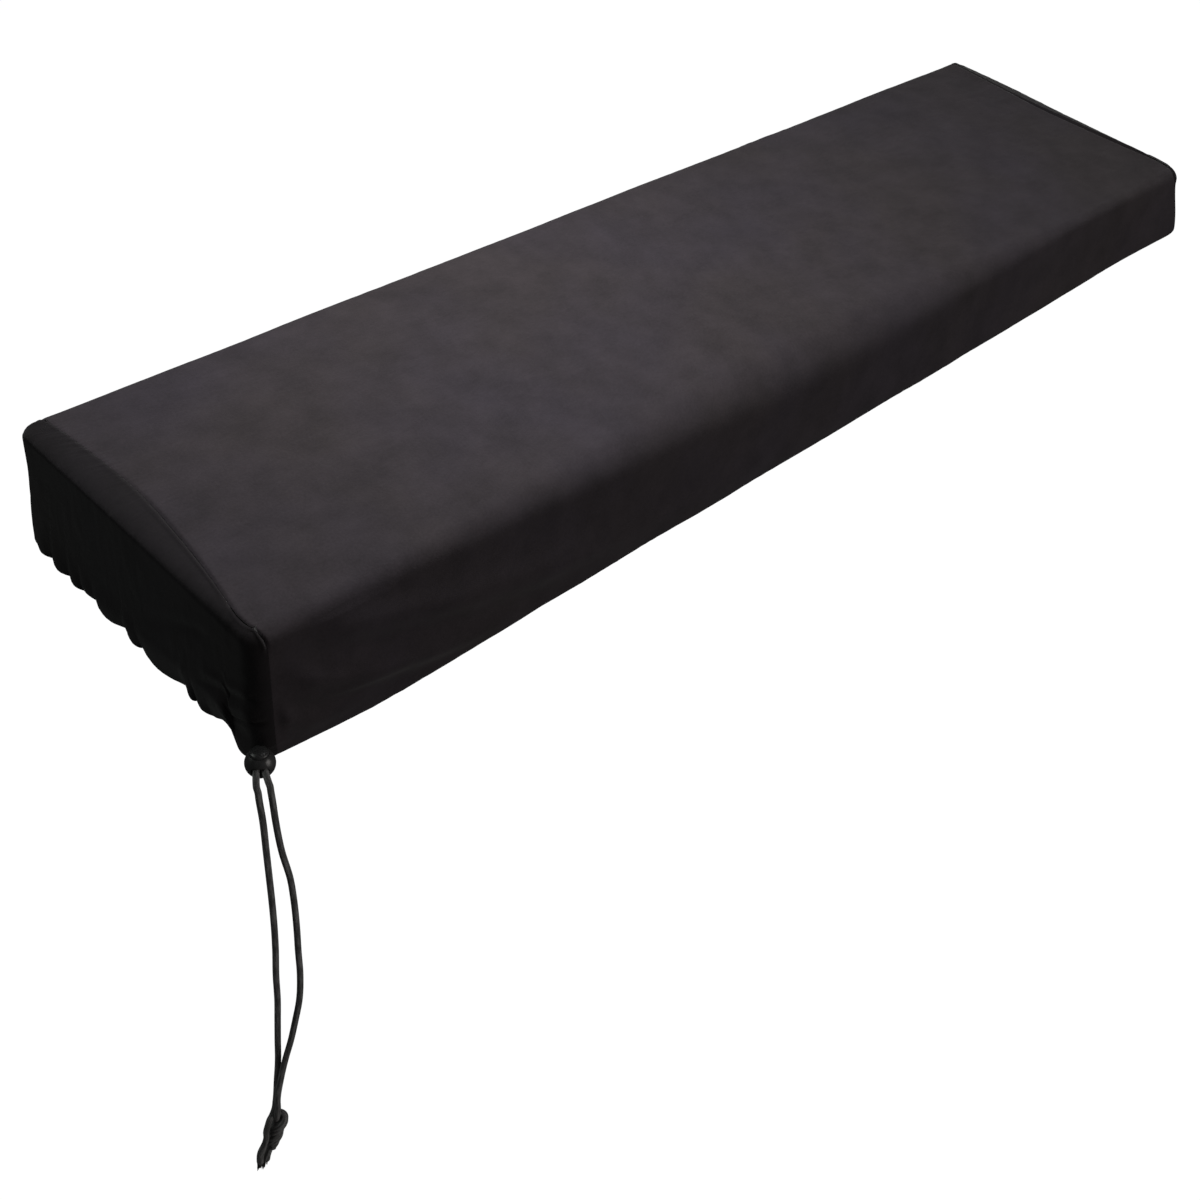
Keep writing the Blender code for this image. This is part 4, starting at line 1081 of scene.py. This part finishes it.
def braid_finish(colour, lay):
    """Round black braid: a painted highlight on its thread crowns and painted shade between them, in a herringbone,
    with paler thread where it is cut.
    """
    made, tree, shader = new_finish("black braid", 0.55, **{"Specular IOR Level": 0.4, "Sheen Weight": 0.25})
    flat = add_node(tree, "ShaderNodeUVMap", uv_map="cord").outputs[0]
    place = add_node(tree, "ShaderNodeTexCoord").outputs["Object"]
    crowns = []
    for turn in (BRAID_LEAN, -BRAID_LEAN):
        mapping = add_node(tree, "ShaderNodeMapping", {"Vector": flat, "Rotation": (0, 0, turn)})
        inputs = {"Vector": mapping.outputs[0], "Scale": wave_scale(lay), "Distortion": 0.3}
        crowns.append(add_node(tree, "ShaderNodeTexWave", inputs).outputs["Fac"])
    braid = arithmetic(tree, "MAXIMUM", *crowns)
    hair = noise_value(tree, place, 900.0, 3.0)
    streak = ranged(tree, stretched_noise(tree, flat, (1.0, 0.10, 1.0), 0.0, 520.0), 0.42, 0.62, 0.25, 1.6)
    # The streaky brightness on the crowns is a painted highlight; the darker colour between them is painted shade.
    painted_highlight = arithmetic(tree, "MULTIPLY", streak, arithmetic(tree, "MULTIPLY", braid, hair))
    plain = blended(tree, painted_highlight, *(shade(colour, share) for share in BRAID_PAINTED_SHADE_AND_HIGHLIGHT))
    cut = add_node(tree, "ShaderNodeAttribute", attribute_name="cut").outputs["Fac"]
    tree.links.new(blended(tree, cut, plain, CUT_COLOUR), shader.inputs["Base Color"])
    relief = bump(tree, braid, 0.00035, 0.8)
    tree.links.new(bump(tree, hair, 0.0002, 0.5, relief), shader.inputs["Normal"])
    return made


def dress(piece, finish, slot, body, *nodes):
    """Gives a piece its finish, its slot, the nodes that it replaces and the body that it rides on."""
    piece.data.materials.append(finish)
    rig.slot(piece, slot)
    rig.replaces(piece, *nodes)
    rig.ride(piece, body)


def fade_to_cut(piece, cut):
    """Marks how pale a strand is: not at all far from its cut, and fully by it."""
    away = np.linalg.norm(np.array([vertex.co for vertex in piece.data.vertices]) - cut, axis=1)
    layer = piece.data.attributes.new("cut", "FLOAT", "POINT")
    layer.data.foreach_set("value", 1 - ramp(away, *CUT_REACH))


def knot_path(shift):
    """The middle of a cord that winds round the strands, shifted up or down the knot's length."""
    share = np.linspace(0, 1, round(KNOT_STEPS * KNOT_TURNS))
    turn = math.tau * (KNOT_TURNS * share + KNOT_START)
    axis = np.array(KNOT_AXIS)
    up = axis[0, 1] + (axis[-1, 1] - axis[0, 1]) * share + shift
    middle, across, reach = (eased(axis[::-1, (1, k)], up) for k in (0, 2, 3))
    right = np.cos(turn) * across
    out = np.sin(turn) * reach
    return at_lock(np.stack((
        middle + right * math.cos(KNOT_TILT), KNOT_MIDDLE + out, up + right * math.sin(KNOT_TILT),
    ), axis=-1))


def frays(name, path, cut, random):
    """The loose threads of a strand's tail, from its end to the slanting cut."""
    ahead = path[-1] - path[-4]
    ahead /= np.linalg.norm(ahead)
    slant = way_at_lock(CUT_FACING)
    spread = CORD_RADIUS * TAIL_FLARE * FRAY_CROWDING
    threads = []
    for _ in range(FRAYS):
        aside = random.normal(size=3)
        aside -= ahead * aside.dot(ahead)
        aside *= spread * math.sqrt(random.uniform(0, 1)) / np.linalg.norm(aside)
        start = path[-1] + aside - ahead * FRAY_DEPTH
        reach = max((cut - start).dot(slant) / ahead.dot(slant), FRAY_DEPTH) * random.uniform(*FRAY_LENGTHS)
        t = np.linspace(0, 1, FRAY_STEPS)[:, None]
        bend = (aside + np.cross(ahead, aside) * random.uniform(-1, 1)) * FRAY_SPREAD * random.uniform(0, 1)
        thread = start + ahead * reach * t + bend * t * t
        threads.append((thread, FRAY_RADIUS * np.linspace(1, 0.5, FRAY_STEPS)))
    return braided_tube(name, threads, FRAY_SIDES)


def drawstring(finish):
    """The two strands, the knot that they are tied in and the frayed ends of its tails."""
    wraps = [braided_tube(f"knot_wrap_{i + 1}", [(smooth_path(knot_path(shift), CORD_STEP), WRAP_RADIUS)])
             for i, shift in enumerate((WRAPS_APART / 2, -WRAPS_APART / 2))]
    for wrap in wraps:
        dress(wrap, finish, "cord", "cover", "cord_knot")
    random = np.random.default_rng(FRAY_SEED)
    for name, length in STRAND_LENGTHS.items():
        tail = name.replace("cord", "cord_tail")
        path, cut = smooth_path(at_lock(STRANDS[name]), CORD_STEP), at_lock(CUTS[name])
        left = np.linalg.norm(path - path[-1], axis=1)
        radius = CORD_RADIUS * (TAIL_FLARE - (TAIL_FLARE - 1) * ramp(left, TAIL_REACH / 2, TAIL_REACH))
        strand = braided_tube(name.replace("cord", "strand"), [(path, radius)])
        threads = frays(name.replace("cord", "frays"), path, cut, random)
        dress(strand, finish, "cord", "cover", name, tail)
        dress(threads, finish, "cord", "cover", tail)
        for piece in (strand, threads):
            fade_to_cut(piece, cut)
        ends = [threads] + (wraps if name == "cord_left" else [])
        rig.cord(strand, exit=path[0], length=length, diameter=2 * CORD_RADIUS, far_end="bare",
                stiffness="limp", lay="hanging", path=path, with_pieces=ends)


def cord_lock(finish):
    """The lock: a ball with its bore and cord hole, and the button that slides in the bore."""
    start = math.atan2(math.sqrt(BALL_RADIUS**2 - BORE_RADIUS**2), BORE_RADIUS)
    profile = [(0.0, BORE_FLOOR), (BORE_RADIUS, BORE_FLOOR)]
    profile += arc((0.0, 0.0), BALL_RADIUS, start, -math.pi / 2, BALL_STEPS)
    ball = finished("lock_ball", turned(profile))
    cut_away(ball, level_way(HOLE_WIDTH, -HOLE_HEIGHT / 2, HOLE_HEIGHT / 2, HOLE_HEIGHT / 2 - 1e-5))
    rounded(ball, BALL_EDGE)
    rise = BUTTON_TOP - BUTTON_SHOULDER
    turns = np.linspace(0, math.pi / 2, DOME_STEPS + 1)
    dome = [(BUTTON_RADIUS * math.cos(t), BUTTON_SHOULDER + rise * math.sin(t)) for t in turns]
    button = finished("lock_plunger", turned([(0.0, BUTTON_FOOT), (BUTTON_RADIUS, BUTTON_FOOT)] + dome))
    cut_away(button, level_way(SLOT_WIDTH, SLOT_BOTTOM, SLOT_TOP, SLOT_ROUNDING))
    rounded(button, BUTTON_EDGE)
    for piece, node, body in ((ball, "lock_body", "cover"), (button, "lock_button", "button")):
        piece.data.shade_smooth()
        dress(piece, finish, "plastic", body, node)


def cloth_relief(points, distance, ridged):
    """All the cloth's small relief, distance away from an end seam."""
    return soft_wrinkles(points) * ramp(distance, 0.0, SMOOTH_BY_SEAM) + seam_relief(points, distance, ridged)


def displaced(points, sign, relief):
    """A grid's points moved outward by a relief."""
    return points + facing(points, sign) * relief[..., None]


def panels(finish, painted_shade_finish, thickness):
    """The main panel over the top, front and back, and the two end panels that are sewn to it."""
    plain = main_panel_form()
    points = flared(plain)
    across, down = lengths(points, 1), lengths(points, 0)
    distance = np.minimum(across, across[:, -1:] - across)
    along = down[-1:] - down
    points = displaced(points, 1, cloth_relief(points, distance, False))
    facts = seam_facts(distance, along)
    pieces = [cloth_piece("main_cloth", points, grid_uv(points), facts, False, thickness)]
    dress(pieces[0], finish, "cloth", "cover", "main_panel")
    for side, name, hem, gathers, creases in (
        (0, "left", LEFT_HEM, LEFT_GATHERS, LEFT_CREASES),
        (-1, "right", RIGHT_HEM, RIGHT_GATHERS, RIGHT_CREASES),
    ):
        edge = plain[:, side] if side == 0 else mirror(plain[:, side])
        grid, (over_top, down_front, down_back) = end_panel_form(edge, hem, gathers, creases, side == 0)
        grid = flared(grid if side == 0 else mirror(grid))
        sign = -1 if side == 0 else 1
        ways = np.stack((lengths(grid, 0), lengths(grid, 1), lengths(grid[:, ::-1], 1)[:, ::-1]))
        away = ways.min(axis=0)
        index = np.arange(len(plain))
        seams = [np.interp(rows, index, along[:, side]) for rows in (over_top, down_front, down_back)]
        seams[1:] = [seam[:, None] for seam in seams[1:]]
        places = np.stack([np.broadcast_to(seam, away.shape) for seam in seams])
        where = np.take_along_axis(places, ways.argmin(axis=0)[None], axis=0)[0]
        grid = displaced(grid, sign, cloth_relief(grid, away, True))
        grid[0] = read_rows(points[:, side], over_top)
        grid[:, 0] = read_rows(points[:, side], down_front)
        grid[:, -1] = read_rows(points[:, side], down_back)
        facts = seam_facts(away, where)
        pieces.append(cloth_piece(f"{name}_end_cloth", grid, grid_uv(grid), facts, side == 0, thickness))
        # The end panels wear the darker copy of the cloth: painted shade.
        dress(pieces[-1], painted_shade_finish, "cloth", "cover", f"end_panel_{name}")
    return pieces


def stage(settings):
    """A pale floor, three soft lights and the camera."""
    scene = bpy.context.scene
    mesh = bmesh.new()
    bmesh.ops.create_grid(mesh, x_segments=1, y_segments=1, size=FLOOR_HALF)
    bmesh.ops.translate(mesh, verts=mesh.verts, vec=(0, 0, FLOOR_HEIGHT))
    floor = finished("floor", mesh)
    made = new_finish("pale floor", 0.9, **{
        "Base Color": FLOOR_COLOUR, "Emission Color": WHITE, "Emission Strength": 1.0,
    })[0]
    floor.data.materials.append(made)
    floor.visible_diffuse = False
    floor.visible_glossy = False
    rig.stage(floor)
    world = bpy.data.worlds.new("studio") if scene.world is None else scene.world
    scene.world = world
    world.use_nodes = True
    surround = world.node_tree.nodes["Background"]
    surround.inputs["Color"].default_value = WHITE
    surround.inputs["Strength"].default_value = settings.surround
    for name, place, size, power, colour in LIGHTS:
        data = bpy.data.lights.new(name, "AREA")
        data.shape = "RECTANGLE"
        data.size, data.size_y = size
        data.energy = power * settings.light
        data.color = colour
        lamp = bpy.data.objects.new(name, data)
        turn = Vector(place).to_track_quat("Z", "Y").to_matrix().to_4x4()
        lamp.matrix_world = Matrix.Translation(place) @ turn
        lamp.visible_camera = False
        scene.collection.objects.link(lamp)
    data = bpy.data.cameras.new("camera")
    data.lens = settings.lens
    data.sensor_width = 36.0
    data.sensor_fit = "HORIZONTAL"
    camera = bpy.data.objects.new("camera", data)
    turn = Matrix((CAMERA_RIGHT, CAMERA_UP, CAMERA_BACK)).transposed().to_4x4()
    camera.matrix_world = Matrix.Translation(placed(CAMERA_PLACE)) @ turn
    scene.collection.objects.link(camera)
    scene.camera = camera
    scene.view_settings.view_transform = "Standard"


class ClothSettings(bpy.types.PropertyGroup):
    """The cover's cloth."""

    thickness: FloatProperty(
        name="Thickness", description="How thick the stretch cloth is",
        default=CLOTH, min=0.0005, max=0.004, unit="LENGTH")
    weave: FloatProperty(
        name="Rib spacing", description="How far apart the knit's ribs are",
        default=0.0008, min=0.0003, max=0.004, unit="LENGTH")
    # The end panels' cloth is a darker copy of the top's, scaled by this share: painted shade.
    painted_end_shade: FloatProperty(
        name="Painted end shade", description="How dark the ends' cloth with painted shade looks beside the top's",
        default=0.40, min=0.1, max=1.0, subtype="FACTOR")
    colour: FloatVectorProperty(
        name="Colour", description="The cloth's own colour",
        default=(0.0370, 0.0308, 0.0382), size=3, min=0.0, max=1.0, subtype="COLOR")


class LockSettings(bpy.types.PropertyGroup):
    """The cord lock's plastic."""

    colour: FloatVectorProperty(
        name="Colour", description="The plastic's own colour",
        default=(0.034, 0.034, 0.035), size=3, min=0.0, max=1.0, subtype="COLOR")
    roughness: FloatProperty(
        name="Roughness", description="How dull the plastic is",
        default=0.27, min=0.0, max=1.0, subtype="FACTOR")


class CordSettings(bpy.types.PropertyGroup):
    """The drawstring's braid."""

    lay: FloatProperty(
        name="Braid spacing", description="How far apart the braid's threads are",
        default=0.0009, min=0.0003, max=0.004, unit="LENGTH")
    colour: FloatVectorProperty(
        name="Colour", description="The braid's own colour",
        default=(0.112, 0.112, 0.112), size=3, min=0.0, max=1.0, subtype="COLOR")


class StageSettings(bpy.types.PropertyGroup):
    """The studio round the cover."""

    light: FloatProperty(
        name="Light", description="How strong the lamps are", default=1.0, min=0.0, max=10.0)
    surround: FloatProperty(
        name="Surround", description="How bright the surroundings are", default=0.035, min=0.0, max=10.0)
    lens: FloatProperty(
        name="Lens", description="The camera's focal length in millimetres",
        default=54.7, min=20.0, max=200.0)


class COVER_OT_panels(bpy.types.Operator):
    """Make the main panel and the two end panels sewn to it"""

    bl_idname = "cover.panels"
    bl_label = "Cloth panels"

    def execute(self, context):
        settings = context.scene.cover_cloth
        plain = cloth_finish("black stretch cloth", settings.colour, settings.weave)
        # The end panels take a darker copy of the same cloth as painted shade.
        shaded = [channel * settings.painted_end_shade for channel in settings.colour]
        painted_shade_cloth = cloth_finish("black stretch cloth, painted shade", shaded, settings.weave)
        main, left, right = panels(plain, painted_shade_cloth, settings.thickness)
        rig.sheet(main, flat=MAIN_CUT, held="stretched", rests_on=[left, right])
        for end in (left, right):
            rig.sheet(end, flat=END_CUT, held="gathered", rests_on=[main])
        return {"FINISHED"}


class COVER_OT_cord_lock(bpy.types.Operator):
    """Make the ball cord lock and its button"""

    bl_idname = "cover.cord_lock"
    bl_label = "Cord lock"

    def execute(self, context):
        settings = context.scene.cover_lock
        cord_lock(plastic_finish(settings.colour, settings.roughness))
        return {"FINISHED"}


class COVER_OT_drawstring(bpy.types.Operator):
    """Make the drawstring's two strands, their knot and their frayed ends"""

    bl_idname = "cover.drawstring"
    bl_label = "Drawstring"

    def execute(self, context):
        settings = context.scene.cover_cord
        drawstring(braid_finish(settings.colour, settings.lay))
        return {"FINISHED"}


class COVER_OT_stage(bpy.types.Operator):
    """Make the floor, the lights and the camera"""

    bl_idname = "cover.stage"
    bl_label = "Stage"

    def execute(self, context):
        stage(context.scene.cover_stage)
        return {"FINISHED"}


class COVER_PT_cover(bpy.types.Panel):
    """The cover's settings and pieces"""

    bl_label = "Keyboard cover"
    bl_space_type = "VIEW_3D"
    bl_region_type = "UI"
    bl_category = "Cover"

    def draw(self, context):
        for operator, group in STEPS:
            box = self.layout.box()
            settings = getattr(context.scene, group)
            for name in settings.__annotations__:
                box.prop(settings, name)
            box.operator(operator.bl_idname)


GROUPS = {
    "cover_cloth": ClothSettings,
    "cover_lock": LockSettings,
    "cover_cord": CordSettings,
    "cover_stage": StageSettings,
}
STEPS = (
    (COVER_OT_stage, "cover_stage"),
    (COVER_OT_drawstring, "cover_cord"),
    (COVER_OT_cord_lock, "cover_lock"),
    (COVER_OT_panels, "cover_cloth"),
)
CLASSES = (*GROUPS.values(), *(operator for operator, _ in STEPS), COVER_PT_cover)


def register():
    for made in CLASSES:
        bpy.utils.register_class(made)
    for name, group in GROUPS.items():
        setattr(bpy.types.Scene, name, PointerProperty(type=group))


def unregister():
    for name in GROUPS:
        delattr(bpy.types.Scene, name)
    for made in reversed(CLASSES):
        bpy.utils.unregister_class(made)


def main():
    register()
    bpy.ops.cover.stage()
    bpy.ops.cover.drawstring()
    bpy.ops.cover.cord_lock()
    bpy.ops.cover.panels()
    visual = [list(corner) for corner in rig.bounds()]
    with open("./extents.json", "w") as sizes:
        json.dump({"cad": CAD_BOX, "visual": visual}, sizes)


if __name__ == "__main__":
    main()
